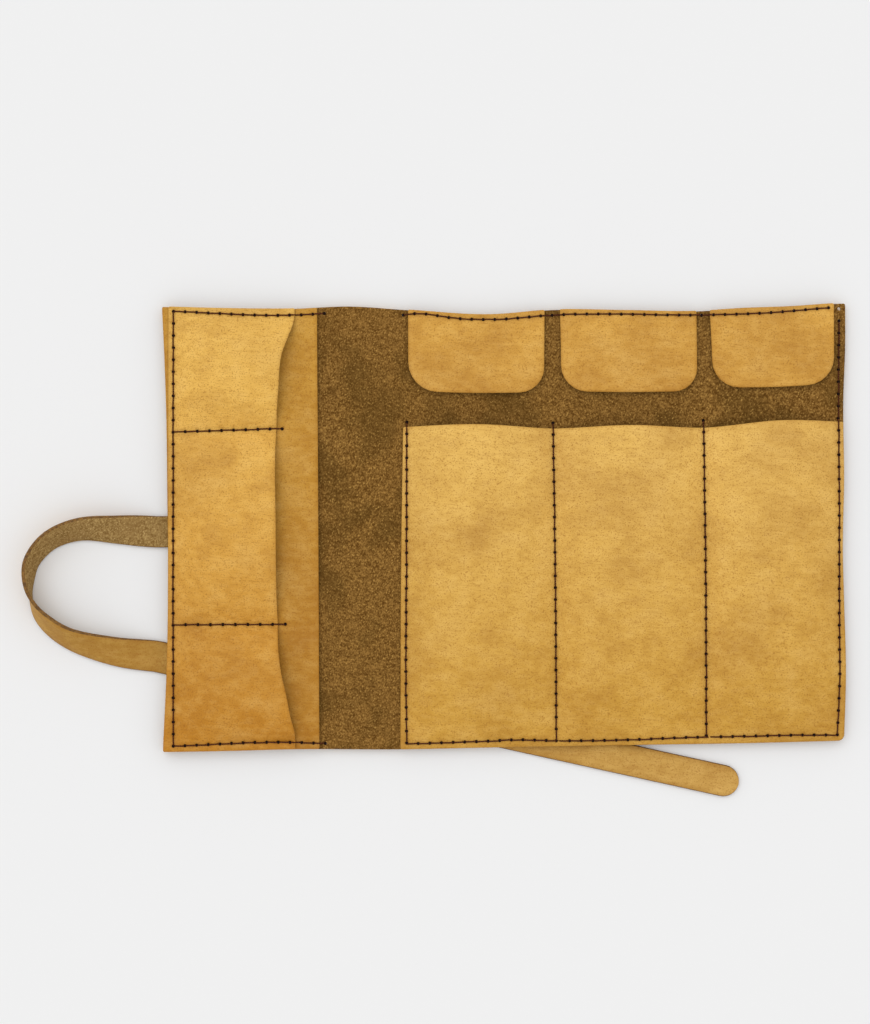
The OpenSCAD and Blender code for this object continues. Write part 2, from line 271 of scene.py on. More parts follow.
@dataclass(frozen=True)
class Layers:
    """Undersides of the layers of leather, as functions of the place on the case."""

    seam_flat: float = 0.9
    card_rise: float = 22.0
    pocket_rise: float = 34.0
    ripple_h: float = 0.45
    flap_gap: float = 0.35
    flap_curl: float = 1.3

    def ripple(self, x: Array, y: Array) -> Array:
        """Gentle unevenness that every layer shares, never below the table."""
        long_wave = np.sin(x / 37 + 0.5) * np.cos(y / 45 + 0.3)
        short_wave = np.sin(x / 17 + y / 29 + 1.0)
        return self.ripple_h * (1 + 0.6 * long_wave + 0.4 * short_wave) / 2

    def outer(self, x: Array, y: Array) -> Array:
        """Underside of the outer leather."""
        return CASE.under_z + self.ripple(x, y)

    def base(self, x: Array, y: Array) -> Array:
        """Upper side of the outer leather, on which the pockets and flaps are sewn."""
        return CASE.inner_z + self.ripple(x, y)

    def between(self, value: Array, low: Array, high: Array) -> Array:
        """Arch between two seams that have a flat strip of leather beside them."""
        return arch((value - low - self.seam_flat) / (high - low - 2 * self.seam_flat))

    def card_swell(self, x: Array, y: Array) -> Array:
        """Share by which the card pockets stand off, which is 0 on their seams."""
        rows = [line(x) for line in (CARD_BOTTOM_SEAM, CARD_LOWER_SEAM, CARD_UPPER_SEAM, CARD_TOP_SEAM)]
        swell = sum(self.between(y, low, high) for low, high in zip(rows, rows[1:]))
        return swell * rise(x - CARD_LEFT_SEAM(y) - self.seam_flat, self.card_rise)

    def card_lower(self, x: Array, y: Array) -> Array:
        """Underside of the lower card pocket."""
        return self.base(x, y) + CASE.lower_bulge * self.card_swell(x, y)

    def card_upper(self, x: Array, y: Array) -> Array:
        """Underside of the scooped card pocket."""
        return self.base(x, y) + CASE.pocket_t + CASE.upper_bulge * self.card_swell(x, y)

    def pens(self, x: Array, y: Array) -> Array:
        """Underside of the pen pockets."""
        rows = [line(y) for line in (PEN_LEFT_SEAM, DIVIDER_1_SEAM, DIVIDER_2_SEAM, RIGHT_SEAM)]
        swell = sum(self.between(x, low, high) for low, high in zip(rows, rows[1:]))
        lift = rise(y - PEN_BOTTOM_SEAM(x) - self.seam_flat, self.pocket_rise)
        return self.base(x, y) + CASE.pen_bulge * swell * lift

    def flap(self, x: Array, y: Array) -> Array:
        """Underside of a flap, which lies loose below its hem and curls up a little at its end."""
        loose = np.clip((FLAP_SEAM(x) - 3 - y) / 4, 0, 1)
        drop = np.clip((FLAP_SEAM(x) - 3 - y) / 34, 0, 1)
        return self.base(x, y) + self.flap_gap * loose + self.flap_curl * drop * drop


LAYERS = Layers()


# ---- Pieces of leather ----


def inside(points: Array, ring: Array) -> Array:
    """Which points lie inside a ring."""
    x, y = points[:, 0:1], points[:, 1:2]
    end = np.roll(ring, -1, axis=0)
    rise_y = end[:, 1] - ring[:, 1]
    rise_y = np.where(np.abs(rise_y) < 1e-9, 1e-9, rise_y)
    crosses = (ring[:, 1] > y) != (end[:, 1] > y)
    left_of = x < (end[:, 0] - ring[:, 0]) * (y - ring[:, 1]) / rise_y + ring[:, 0]
    return (crosses & left_of).sum(axis=1) % 2 == 1


def off_ring(points: Array, ring: Array, counted: Array | None = None) -> Array:
    """Distance of points from a ring, or from only the counted stretches of it."""
    start = ring if counted is None else ring[counted]
    end = np.roll(ring, -1, axis=0) if counted is None else np.roll(ring, -1, axis=0)[counted]
    along = end - start
    reach = points[:, None, :] - start
    t = np.clip((reach * along).sum(axis=2) / np.maximum((along**2).sum(axis=1), 1e-9), 0, 1)
    return np.sqrt(((reach - t[..., None] * along) ** 2).sum(axis=2)).min(axis=1)


def off_points(points: Array, places: Array) -> Array:
    """Distance of points from the nearest of some places."""
    if not len(places):
        return np.full(len(points), np.inf)
    return np.sqrt(((points[:, None, :] - places) ** 2).sum(axis=2)).min(axis=1)


def inset(ring: Array, free: Array, by: float) -> Array:
    """Moves an anticlockwise ring inwards along its free stretches, and slides it along the others.

    Args:
        ring: The outline's points.
        free: For the stretch after each point, whether it is a free edge.
        by: How far in the free stretches go.

    Returns:
        The moved points.
    """
    along = np.roll(ring, -1, axis=0) - ring
    along /= np.linalg.norm(along, axis=1)[:, None]
    out_after = np.stack((along[:, 1], -along[:, 0]), axis=1)
    out_before = np.roll(out_after, 1, axis=0)
    by_after = np.where(free, by, 0.0)
    by_before = np.roll(by_after, 1)
    turn = out_before[:, 0] * out_after[:, 1] - out_before[:, 1] * out_after[:, 0]
    straight = np.abs(turn) < 0.02
    safe = np.where(straight, 1.0, turn)
    x = (-by_before * out_after[:, 1] + by_after * out_before[:, 1]) / safe
    y = (-by_after * out_before[:, 0] + by_before * out_after[:, 0]) / safe
    bent = np.stack((x, y), axis=1)
    flat = -out_after * by_after[:, None]
    return ring + np.where(straight[:, None], flat, bent)


def mesh_lines(low: float, high: float, coarse: float, fine: float, bends: Sequence[tuple]) -> Array:
    """Places of a mesh's lines along one direction.

    Args:
        low: Where the lines begin.
        high: Where they end.
        coarse: Their spacing, counted from the case's zero so that neighbouring pieces agree.
        fine: Their spacing over the stretches that bend.
        bends: The stretches that bend, each as its start and end.

    Returns:
        The places, in rising order.
    """
    places = np.arange(math.ceil(low / coarse), math.floor(high / coarse) + 1) * coarse
    for start, end in bends:
        places = places[(places < start - coarse / 2) | (places > end + coarse / 2)]
        places = np.concatenate((places, np.arange(start, end + fine / 2, fine)))
    return np.sort(places[(places > low) & (places < high)])


@dataclass(frozen=True)
class Panel:
    """A piece of leather, cut between four lines, with a height for every place on it."""

    bottom: Line
    right: Line
    top: Line
    left: Line
    underside: Surface
    thickness: float
    corners: tuple[float, float, float, float] = (0.8, 0.8, 0.8, 0.8)
    edge_step: float = 2.4
    corner_steps: int = 6

    def outline(self, start: float | None = None, end: float | None = None) -> tuple[Array, Array]:
        """The outline of the panel, or of the part between two places along the case.

        Args:
            start: Where the part begins, or None for the panel's own left line.
            end: Where the part ends, or None for the panel's own right line.

        Returns:
            The outline's points, anticlockwise from the bottom left corner, and for the stretch after
            each point whether it is a free edge of the leather.
        """
        left = self.left if start is None else level(start)
        right = self.right if end is None else level(end)
        lines = (self.bottom, right, self.top, left)
        free = (True, end is None, True, start is None)
        radii = [r * (free[i] and free[i - 1]) for i, r in enumerate(self.corners)]
        ends = [meet(left, self.bottom, 0), meet(right, self.bottom, 0),
                meet(right, self.top, CASE.width), meet(left, self.top, CASE.width)]
        sides = []
        for i, line in enumerate(lines):
            axis = i % 2
            a, b = ends[i][axis], ends[(i + 1) % 4][axis]
            way = math.copysign(1, b - a)
            count = max(1, round(abs(b - a) / self.edge_step))
            run = np.linspace(a + way * radii[i], b - way * radii[(i + 1) % 4], count + 1)
            sides.append(np.stack((run, line(run)) if axis == 0 else (line(run), run), axis=1))
        points, is_free = [], []
        for i, side in enumerate(sides):
            corner, after = ends[(i + 1) % 4], sides[(i + 1) % 4][0]
            rounded = radii[(i + 1) % 4] > 0
            body = side if rounded else side[:-1]
            points.extend(body)
            is_free.extend([free[i]] * len(body))
            if rounded:
                turn = np.linspace(0, math.pi / 2, self.corner_steps + 1)[1:-1, None]
                points.extend(corner + (side[-1] - corner) * (1 - np.sin(turn))
                              + (after - corner) * (1 - np.cos(turn)))
                is_free.extend([True] * (self.corner_steps - 1))
        return np.array(points), np.array(is_free)

    def surface(self, points: Array) -> Array:
        """Height of the panel's upper side at points, or minus infinity where it isn't."""
        ring = self.outline()[0]
        height = self.underside(points[:, 0], points[:, 1]) + self.thickness
        return np.where(inside(points, ring), height, -np.inf)


def meet(across: Line, along: Line, start: float) -> Array:
    """Corner where a line that gives x for y meets one that gives y for x."""
    y = np.array(float(start))
    for _ in range(5):
        x = across(y)
        y = along(x)
    return np.array((float(x), float(y)))


def beyond(faces: Sequence[list[int]], loop: list[int]) -> set[int]:
    """Finds the triangles that lie outside an outline.

    Args:
        faces: Triangles, anticlockwise.
        loop: The outline's point numbers, anticlockwise.

    Returns:
        Which of the triangles lie outside.
    """
    rim = set(zip(loop, loop[1:] + loop[:1]))
    owner = {edge: i for i, face in enumerate(faces) for edge in zip(face, face[1:] + face[:1])}
    found = {owner[(b, a)] for a, b in rim if (b, a) in owner}
    queue = list(found)
    while queue:
        face = faces[queue.pop()]
        for a, b in zip(face, face[1:] + face[:1]):
            near = owner.get((b, a))
            if near is not None and near not in found and not {(a, b), (b, a)} & rim:
                found.add(near)
                queue.append(near)
    return found


@dataclass(frozen=True)
class Leatherwork:
    """How a panel becomes a mesh: its rounded rim, its stitch holes and its mesh lines."""

    rim: float = 0.34
    hole_r: float = 0.85
    hole_sides: int = 8
    dimple: float = 0.3
    dimple_reach: float = 1.5
    coarse: float = 2.8
    fine: float = 0.6
    wear_reach: float = 1.6
    halo: float = 0.7
    halo_off_rim: float = 0.35
    grid_off_holes: float = 1.2
    grid_off_rim: float = 0.3
    leather_beside_hole: float = 0.25

    def hole_rings(self, holes: Array, radius: float) -> Array:
        """Points round each hole, anticlockwise."""
        turn = np.arange(self.hole_sides) * 2 * math.pi / self.hole_sides
        circle = radius * np.stack((np.cos(turn), np.sin(turn)), axis=1)
        return (holes[:, None, :] + circle).reshape(-1, 2)

    def plan(self, ring: Array, holes: Array, bends: Sequence[Fold]) -> tuple[Array, list, list]:
        """Divides an outline with its holes into triangles.

        Args:
            ring: The outline, whose points come first in the result.
            holes: Middles of the stitch holes, whose edges come next.
            bends: The folds that cross it, where the mesh is finer.

        Returns:
            The points, the triangles, and the hole edges as lists of point numbers.
        """
        low, high = ring.min(axis=0), ring.max(axis=0)
        axes = [[], []]
        for fold in bends:
            axis = 0 if fold.start[0] != fold.end[0] else 1
            axes[axis].append(tuple(sorted((fold.start[axis], fold.end[axis]))))
        xs, ys = (mesh_lines(low[i], high[i], self.coarse, self.fine, axes[i]) for i in (0, 1))
        grid = np.stack(np.meshgrid(xs, ys), axis=-1).reshape(-1, 2)
        halo = self.hole_rings(holes, self.hole_r + self.halo)
        halo = halo[inside(halo, ring) & (off_ring(halo, ring) > self.halo_off_rim)]
        near = np.minimum(off_points(grid, holes) - self.hole_r - self.grid_off_holes,
                          off_ring(grid, ring) - self.grid_off_rim)
        grid = grid[inside(grid, ring) & (near > 0)]
        edges = self.hole_rings(holes, self.hole_r)
        points = np.concatenate((ring, edges, halo, grid))
        n, k = len(ring), self.hole_sides
        loops = [[n + h * k + i for i in range(k)] for h in range(len(holes))]
        links = [(i, (i + 1) % n) for i in range(n)]
        for loop in loops:
            links += [(loop[i], loop[(i + 1) % k]) for i in range(k)]
        made = delaunay_2d_cdt([Vector(p) for p in points], links, [], 0, 1e-6)
        place, faces, origins = np.array([tuple(p) for p in made[0]]), made[2], made[3]
        renumbered = {old: new for new, olds in enumerate(origins) for old in olds}
        centres = np.array([place[list(f)].mean(axis=0) for f in faces])
        order = [renumbered[i] for i in range(n)]
        faces = [anticlockwise(f, place) for f in faces]
        solid = off_points(centres, holes) > self.hole_r * math.cos(math.pi / k)
        dropped = beyond(faces, order)
        faces = [f for i, f in enumerate(faces) if solid[i] and i not in dropped]
        loops = [[renumbered[i] for i in loop] for loop in loops]
        return place, faces, [order, *loops]

    def build(self, name: str, panel: Panel, part: tuple[float | None, float | None], holes: Array,
              bends: Sequence[Fold], finishes: Sequence[bpy.types.Material]) -> bpy.types.Object:
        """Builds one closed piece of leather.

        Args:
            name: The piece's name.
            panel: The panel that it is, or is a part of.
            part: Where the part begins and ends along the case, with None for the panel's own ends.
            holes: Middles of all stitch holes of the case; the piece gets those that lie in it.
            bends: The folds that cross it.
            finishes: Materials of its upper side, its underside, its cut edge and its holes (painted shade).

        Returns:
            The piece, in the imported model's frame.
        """
        ring, free = panel.outline(*part)
        holes = holes[inside(holes, ring)]
        holes = holes[off_ring(holes, ring) > self.hole_r + self.leather_beside_hole]
        inner = inset(ring, free, self.rim)
        place, faces, loops = self.plan(inner, holes, bends)
        n = len(place)
        low = panel.underside(place[:, 0], place[:, 1])
        pull = np.exp(-((off_points(place, holes) - self.hole_r).clip(0) / self.dimple_reach * 2) ** 2)
        top = np.column_stack((place, low + panel.thickness - self.dimple * pull))
        under = np.column_stack((place, low + self.dimple * 0.5 * pull))
        rim_low = panel.underside(ring[:, 0], ring[:, 1])
        upper = np.column_stack((ring, rim_low + panel.thickness - self.rim))
        lower = np.column_stack((ring, rim_low + self.rim))
        m = len(ring)
        points = np.concatenate((top, under, upper, lower))
        made = [tuple(f) for f in faces] + [tuple(n + i for i in reversed(f)) for f in faces]
        kinds = [Side.UPPER] * len(faces) + [Side.UNDER] * len(faces)
        first_upper, first_lower = 2 * n, 2 * n + m
        for i in range(m):
            j = (i + 1) % m
            inner_i, inner_j = loops[0][i], loops[0][j]
            upper_i, upper_j = first_upper + i, first_upper + j
            lower_i, lower_j = first_lower + i, first_lower + j
            made.append((upper_i, upper_j, inner_j, inner_i))
            made.append((lower_i, lower_j, upper_j, upper_i))
            made.append((n + inner_i, n + inner_j, lower_j, lower_i))
            kinds += [Side.UPPER, Side.EDGE, Side.UNDER] if free[i] else [Side.EDGE] * 3
        # Hole walls take the last finish, which is near-black painted shade
        for loop in loops[1:]:
            for a, b in zip(loop, loop[1:] + loop[:1]):
                made.append((a, b, n + b, n + a))
                kinds.append(Side.HOLE)
        piece = mesh_piece(name, in_frame(points), made, kinds, finishes)
        edge = off_ring(place, ring, free)
        worn = np.exp(-np.minimum(edge, off_points(place, holes) - self.hole_r).clip(0) / self.wear_reach)
        write_wear(piece, np.concatenate((worn, worn, np.ones(2 * m))))
        return piece


def anticlockwise(face: Sequence[int], place: Array) -> list[int]:
    """A triangle's points in anticlockwise order."""
    a, b, c = (place[i] for i in face)
    turn = (b[0] - a[0]) * (c[1] - a[1]) - (b[1] - a[1]) * (c[0] - a[0])
    return list(face) if turn > 0 else list(reversed(face))


def mesh_piece(name: str, points: Array, faces: Sequence[Sequence[int]], kinds: Sequence[int],
               finishes: Sequence[bpy.types.Material], smooth: float = 50.0) -> bpy.types.Object:
    """Makes a smooth-shaded mesh object and links it to the scene.

    Args:
        name: The piece's name.
        points: Its points in metres.
        faces: Its faces as point numbers.
        kinds: Which of the finishes each face has.
        finishes: Its materials.
        smooth: Angle in degrees up to which two faces are shaded as one surface.

    Returns:
        The new object.
    """
    mesh = bpy.data.meshes.new(name)
    mesh.from_pydata([tuple(p) for p in points], [], [tuple(f) for f in faces])
    for finish in finishes:
        mesh.materials.append(finish)
    mesh.polygons.foreach_set("material_index", list(kinds))
    mesh.shade_smooth()
    mesh.set_sharp_from_angle(angle=math.radians(smooth))
    mesh.update()
    piece = bpy.data.objects.new(name, mesh)
    bpy.context.scene.collection.objects.link(piece)
    return piece


def write_wear(piece: bpy.types.Object, worn: Array) -> None:
    """Stores how worn each point is, from 0 in the open to 1 at an edge or a hole."""
    attribute = piece.data.attributes.new("wear", "FLOAT", "POINT")
    attribute.data.foreach_set("value", worn.astype(np.float32))


# ---- Finishes ----


def linear(code: str) -> tuple[float, float, float, float]:
    """An sRGB hex colour as linear RGBA."""
    parts = [int(code[i:i + 2], 16) / 255 for i in (1, 3, 5)]
    return (*(p / 12.92 if p <= 0.04045 else ((p + 0.055) / 1.055) ** 2.4 for p in parts), 1.0)


def add(tree: bpy.types.NodeTree, kind: str, inputs: dict[int | str, Any] | None = None,
        **settings: Any) -> bpy.types.Node:
    """Adds a node with its settings and links.

    Args:
        tree: The material's node tree.
        kind: The node's type, without ShaderNode.
        inputs: For each input, the socket to link to it or the value to set on it.
        **settings: The node's own properties.

    Returns:
        The new node.
    """
    made = tree.nodes.new("ShaderNode" + kind)
    for name, value in settings.items():
        setattr(made, name, value)
    for name, value in (inputs or {}).items():
        if isinstance(value, bpy.types.NodeSocket):
            tree.links.new(value, made.inputs[name])
        else:
            made.inputs[name].default_value = value
    return made


@dataclass(frozen=True)
class Finish:
    """Base of every finish: a named material with a principled shader."""

    name: str

    def make(self) -> bpy.types.Material:
        """Makes the material and lets the finish lay out its nodes."""
        material = bpy.data.materials.new(self.name)
        material.use_nodes = True
        tree = material.node_tree
        tree.nodes.clear()
        shader = add(tree, "BsdfPrincipled")
        self.lay_out(tree, shader)
        add(tree, "OutputMaterial", {"Surface": shader.outputs["BSDF"]})
        return material

    def lay_out(self, tree: bpy.types.NodeTree, shader: bpy.types.Node) -> None:
        """Adds the finish's own nodes and settings."""
        raise NotImplementedError

    def pattern(self, tree: bpy.types.NodeTree, place: bpy.types.NodeSocket,
                size: tuple[float, float, float], detail: float = 2.0,
                turn: float = 0.0) -> bpy.types.NodeSocket:
        """A random pattern whose patches have a size in millimetres along each axis.

        Args:
            tree: The material's node tree.
            place: Where it is read, in metres.
            size: Size of its patches along X, Y and Z, in millimetres.
            detail: How many finer layers it has.
            turn: Turn of the pattern about Z, in degrees.

        Returns:
            Its value, around 0.5.
        """
        turned = add(tree, "Mapping", {"Vector": place, "Rotation": (0, 0, math.radians(turn))})
        scaled = add(tree, "Mapping", {"Vector": turned.outputs[0], "Scale": [1 / (s * MM) for s in size]})
        made = add(tree, "TexNoise", {"Vector": scaled.outputs[0], "Scale": 1.0, "Detail": detail,
                                      "Roughness": 0.55})
        return made.outputs[0]

    def toned(self, tree: bpy.types.NodeTree, colour: Any, pattern: bpy.types.NodeSocket, low: float,
              high: float, tone: str, amount: float = 1.0) -> bpy.types.NodeSocket:
        """A colour that goes over into a tone where a pattern is strong.

        Args:
            tree: The material's node tree.
            colour: The colour where the pattern is weak, as a value or a socket.
            pattern: The pattern's value.
            low: The value from which the tone shows.
            high: The value where it is strongest.
            tone: The tone, as an sRGB hex code.
            amount: How strong it gets, up to 1.

        Returns:
            The toned colour.
        """
        share = add(tree, "MapRange", {"Value": pattern, "From Min": low, "From Max": high,
                                       "To Max": amount}, interpolation_type="SMOOTHSTEP")
        mixed = add(tree, "Mix", {0: share.outputs[0], 6: colour, 7: linear(tone)}, data_type="RGBA")
        return mixed.outputs[2]


@dataclass(frozen=True)
class GrainLeather(Finish):
    """Full-grain vegetable-tanned leather, tan, only oiled.

    The tannage takes the dye unevenly, which the eye sees as soft clouds; the skin's own fine creases
    run up and down the case; and handling darkens it along its edges and round its stitches.
    """

    # top and bottom are the two ends of a painted light gradient across the case, between low_y and high_y
    top: str = "#e0ae55"
    bottom: str = "#c38a35"
    deep: str = "#9c6218"
    bright: str = "#f0c676"
    low_y: float = 0.0
    high_y: float = 214.0
    clouds: float = 0.22
    mottle: float = 0.12
    creases: float = 0.19
    pores: float = 0.6
    wear: float = 0.25
    cloud_mm: float = 42.0
    blotch_mm: float = 13.0
    mottle_mm: float = 3.0
    crease_mm: float = 0.8
    crease_len_mm: float = 8.0
    crease_turn: float = 6.0
    pore_mm: float = 0.68
    relief_mm: float = 0.08

    def lay_out(self, tree: bpy.types.NodeTree, shader: bpy.types.Node) -> None:
        """Satin leather with clouds, blotches, creases, pores, worn edges and painted light from bottom to
        top.
        """
        place = add(tree, "TexCoord").outputs["Object"]
        cloud = self.pattern(tree, place, (self.cloud_mm, self.cloud_mm, self.cloud_mm), detail=1)
        blotch = self.pattern(tree, place, (self.blotch_mm * 1.3, self.blotch_mm, self.blotch_mm), detail=2)
        mottle = self.pattern(tree, place, (self.mottle_mm * 1.6, self.mottle_mm, self.mottle_mm), detail=3)
        crease = self.pattern(tree, place, (self.crease_len_mm, self.crease_mm, self.crease_mm), detail=3,
                              turn=self.crease_turn)
        pore = self.pattern(tree, place, (self.pore_mm,) * 3, detail=1)
        worn = add(tree, "Attribute", attribute_name="wear").outputs["Fac"]

        # Painted light: the base colour runs from the bottom colour to the top colour across the case, for
        # light that falls more strongly on one end of each piece
        height = add(tree, "SeparateXYZ", {0: place}).outputs["Y"]
        low, high = (y * MM + CASE_ZERO.y for y in (self.low_y, self.high_y))
        painted_light_share = add(tree, "MapRange", {"Value": height, "From Min": low, "From Max": high})
        colour = add(tree, "Mix", {0: painted_light_share.outputs[0], 6: linear(self.bottom), 7: linear(self.top)},
                     data_type="RGBA").outputs[2]
        layers = (
            (cloud, 0.62, 0.3, self.clouds, self.deep), (blotch, 0.58, 0.25, self.clouds, self.deep),
            (blotch, 0.42, 0.75, self.clouds, self.bright), (mottle, 0.6, 0.3, self.mottle, self.deep),
            (mottle, 0.4, 0.7, self.mottle, self.bright), (crease, 0.52, 0.3, self.creases, self.deep),
            (pore, 0.5, 0.25, self.pores, self.deep), (worn, 0.35, 1.0, self.wear, self.deep),
        )
        for value, start, end, amount, tone in layers:
            colour = self.toned(tree, colour, value, start, end, tone, amount)
        tree.links.new(colour, shader.inputs["Base Color"])

        gloss = add(tree, "MapRange", {"Value": blotch, "From Min": 0.3, "From Max": 0.7, "To Min": 0.52,
                                       "To Max": 0.66}, interpolation_type="SMOOTHSTEP")
        tree.links.new(gloss.outputs[0], shader.inputs["Roughness"])
        pitted = add(tree, "Math", {0: crease, 1: 1.2, 2: pore}, operation="MULTIPLY_ADD").outputs[0]
        relief = add(tree, "Math", {0: mottle, 1: 1.5, 2: pitted}, operation="MULTIPLY_ADD").outputs[0]
        bump = add(tree, "Bump", {"Height": relief, "Distance": self.relief_mm * MM, "Strength": 1.0})
        tree.links.new(bump.outputs[0], shader.inputs["Normal"])
        shader.inputs["IOR"].default_value = 1.46
        shader.inputs["Specular IOR Level"].default_value = 0.25


@dataclass(frozen=True)
class Suede(Finish):
    """The flesh side of the same leather, left rough.

    Short loose fibres stand up from it, so the eye sees a dark, dusty and grainy brown without gloss.
    """

    dark: str = "#5c3b10"
    light: str = "#a3793c"
    fleck: str = "#c39a52"
    smoky: str = "#543a12"
    fibre_mm: float = 0.7
    tuft_mm: float = 1.7
    cloud_mm: float = 24.0
    relief_mm: float = 0.25

    def lay_out(self, tree: bpy.types.NodeTree, shader: bpy.types.Node) -> None:
        """Matt fibres in two sizes, brushed here and there into lighter and darker patches."""
        place = add(tree, "TexCoord").outputs["Object"]
        fibre_size = (self.fibre_mm, self.fibre_mm * 1.4, self.fibre_mm)
        fibre = self.pattern(tree, place, fibre_size, detail=4, turn=25)
        tuft = self.pattern(tree, place, (self.tuft_mm,) * 3, detail=4)
        cloud = self.pattern(tree, place, (self.cloud_mm,) * 3, detail=2)
        coarse = add(tree, "Math", {0: tuft, 1: 0.38}, operation="MULTIPLY").outputs[0]
        nap = add(tree, "Math", {0: fibre, 1: 0.62, 2: coarse}, operation="MULTIPLY_ADD").outputs[0]
        colour = self.toned(tree, linear(self.dark), nap, 0.36, 0.68, self.light)
        colour = self.toned(tree, colour, cloud, 0.45, 0.65, self.smoky, 0.5)
        colour = self.toned(tree, colour, fibre, 0.58, 0.72, self.fleck, 0.75)
        tree.links.new(colour, shader.inputs["Base Color"])
        bump = add(tree, "Bump", {"Height": nap, "Distance": self.relief_mm * MM, "Strength": 1.0})
        tree.links.new(bump.outputs[0], shader.inputs["Normal"])
        shader.inputs["Roughness"].default_value = 0.92
        shader.inputs["IOR"].default_value = 1.4
        shader.inputs["Specular IOR Level"].default_value = 0.12


@dataclass(frozen=True)
class CutEdge(Finish):
    """The edge where a knife went through the leather, which is left raw.

    The eye sees a thin line, browner than the grain side, with fibres in layers.
    """

    dark: str = "#5a3a14"
    light: str = "#8f6527"
    layer_mm: float = 0.3

    def lay_out(self, tree: bpy.types.NodeTree, shader: bpy.types.Node) -> None:
        """Fibres that lie in flat layers."""
        place = add(tree, "TexCoord").outputs["Object"]
        fibre = self.pattern(tree, place, (self.layer_mm * 5, self.layer_mm * 5, self.layer_mm), detail=3)
        colour = self.toned(tree, linear(self.dark), fibre, 0.3, 0.7, self.light)
        tree.links.new(colour, shader.inputs["Base Color"])
        bump = add(tree, "Bump", {"Height": fibre, "Distance": 0.1 * MM, "Strength": 1.0})
        tree.links.new(bump.outputs[0], shader.inputs["Normal"])
        shader.inputs["Roughness"].default_value = 0.8


@dataclass(frozen=True)
class WaxedThread(Finish):
    """Twisted linen thread pulled through beeswax: dark brown, with a slight gleam on each strand.

    The strands are drawn twice as coarse as real ones, because finer ones wouldn't show.
    """

    dark: str = "#2e140a"
    light: str = "#6a371c"
    strand_mm: float = 0.5

    def lay_out(self, tree: bpy.types.NodeTree, shader: bpy.types.Node) -> None:
        """Slanting strands."""
        place = add(tree, "TexCoord").outputs["Object"]
        scale = [0.5 / (self.strand_mm * MM)] * 3
        scaled = add(tree, "Mapping", {"Vector": place, "Scale": scale})
        strands = add(tree, "TexWave", {"Vector": scaled.outputs[0], "Scale": 0.6, "Distortion": 0.6},
                      bands_direction="DIAGONAL")
        colour = add(tree, "Mix", {0: strands.outputs["Fac"], 6: linear(self.dark), 7: linear(self.light)},
                     data_type="RGBA").outputs[2]
        tree.links.new(colour, shader.inputs["Base Color"])
        bump = add(tree, "Bump", {"Height": strands.outputs["Fac"], "Distance": 0.12 * MM, "Strength": 1.0})
        tree.links.new(bump.outputs[0], shader.inputs["Normal"])
        shader.inputs["Roughness"].default_value = 0.7
        shader.inputs["Specular IOR Level"].default_value = 0.12


@dataclass(frozen=True)
class PaleTable(Finish):
    """A plain pale studio floor: matt board, painted off-white, with hardly any texture."""

    colour: str = "#f2f2f2"

    def lay_out(self, tree: bpy.types.NodeTree, shader: bpy.types.Node) -> None:
        """One even matt colour."""
        shader.inputs["Base Color"].default_value = linear(self.colour)
        shader.inputs["Roughness"].default_value = 0.95
        shader.inputs["Specular IOR Level"].default_value = 0.1


@dataclass
class Workshop:
    """The finishes in use, each made once."""

    # Each grain's top and bottom colours make a painted light gradient across the case
    card_grain: bpy.types.Material = field(default_factory=GrainLeather(
        "tan_grain_of_card_pockets", top="#f2bf5a", bottom="#ca8820", low_y=5, high_y=185).make)
    lower_grain: bpy.types.Material = field(default_factory=GrainLeather(
        "tan_grain_of_lower_card_pocket", top="#cf9935", bottom="#b87d1c").make)
    pen_grain: bpy.types.Material = field(default_factory=GrainLeather(
        "tan_grain_of_pen_pockets", top="#efbf60", bottom="#d3a03d", low_y=20, high_y=150).make)
    flap_grain: bpy.types.Material = field(default_factory=GrainLeather(
        "tan_grain_of_flaps", top="#e2ab49", bottom="#d39c3f", low_y=170).make)
    strap_grain: bpy.types.Material = field(default_factory=GrainLeather(
        "tan_grain_of_strap", top="#b38635", bottom="#cfa14f", low_y=-20, high_y=50).make)
    suede: bpy.types.Material = field(default_factory=Suede("brown_suede_of_the_inside").make)
    strap_suede: bpy.types.Material = field(default_factory=Suede(
        "brown_suede_of_strap", dark="#7f5f31", light="#bb9a60", fleck="#cfae74", smoky="#957443").make)
    edge: bpy.types.Material = field(default_factory=CutEdge("raw_cut_leather_edge").make)
    thread: bpy.types.Material = field(default_factory=WaxedThread("waxed_brown_thread").make)
    # Painted shade: this near-black copy of the thread colours the plugs and hole walls as the shade inside
    # the stitch holes
    thread_and_hole_shade: bpy.types.Material = field(default_factory=WaxedThread(
        "thread_and_painted_shade_in_holes", dark="#0d0402", light="#220c05").make)


# ---- Stitching ----


@dataclass(frozen=True)
class Seam:
    """A row of saddle stitches along a line, from one place along it to another."""

    line: Line
    start: float
    end: float
    upright: bool = False
    pitch: float = 5.7

    def holes(self) -> Array:
        """Middles of the holes, evenly spaced along the row."""
        run = np.linspace(self.start, self.end, 240)
        across = self.line(run)
        route = np.stack((across, run) if self.upright else (run, across), axis=1)
        lengths = np.concatenate(([0], np.linalg.norm(np.diff(route, axis=0), axis=1).cumsum()))
        count = round(lengths[-1] / self.pitch)
        places = np.linspace(0, lengths[-1], count + 1)
        return np.stack([np.interp(places, lengths, route[:, i]) for i in (0, 1)], axis=1)


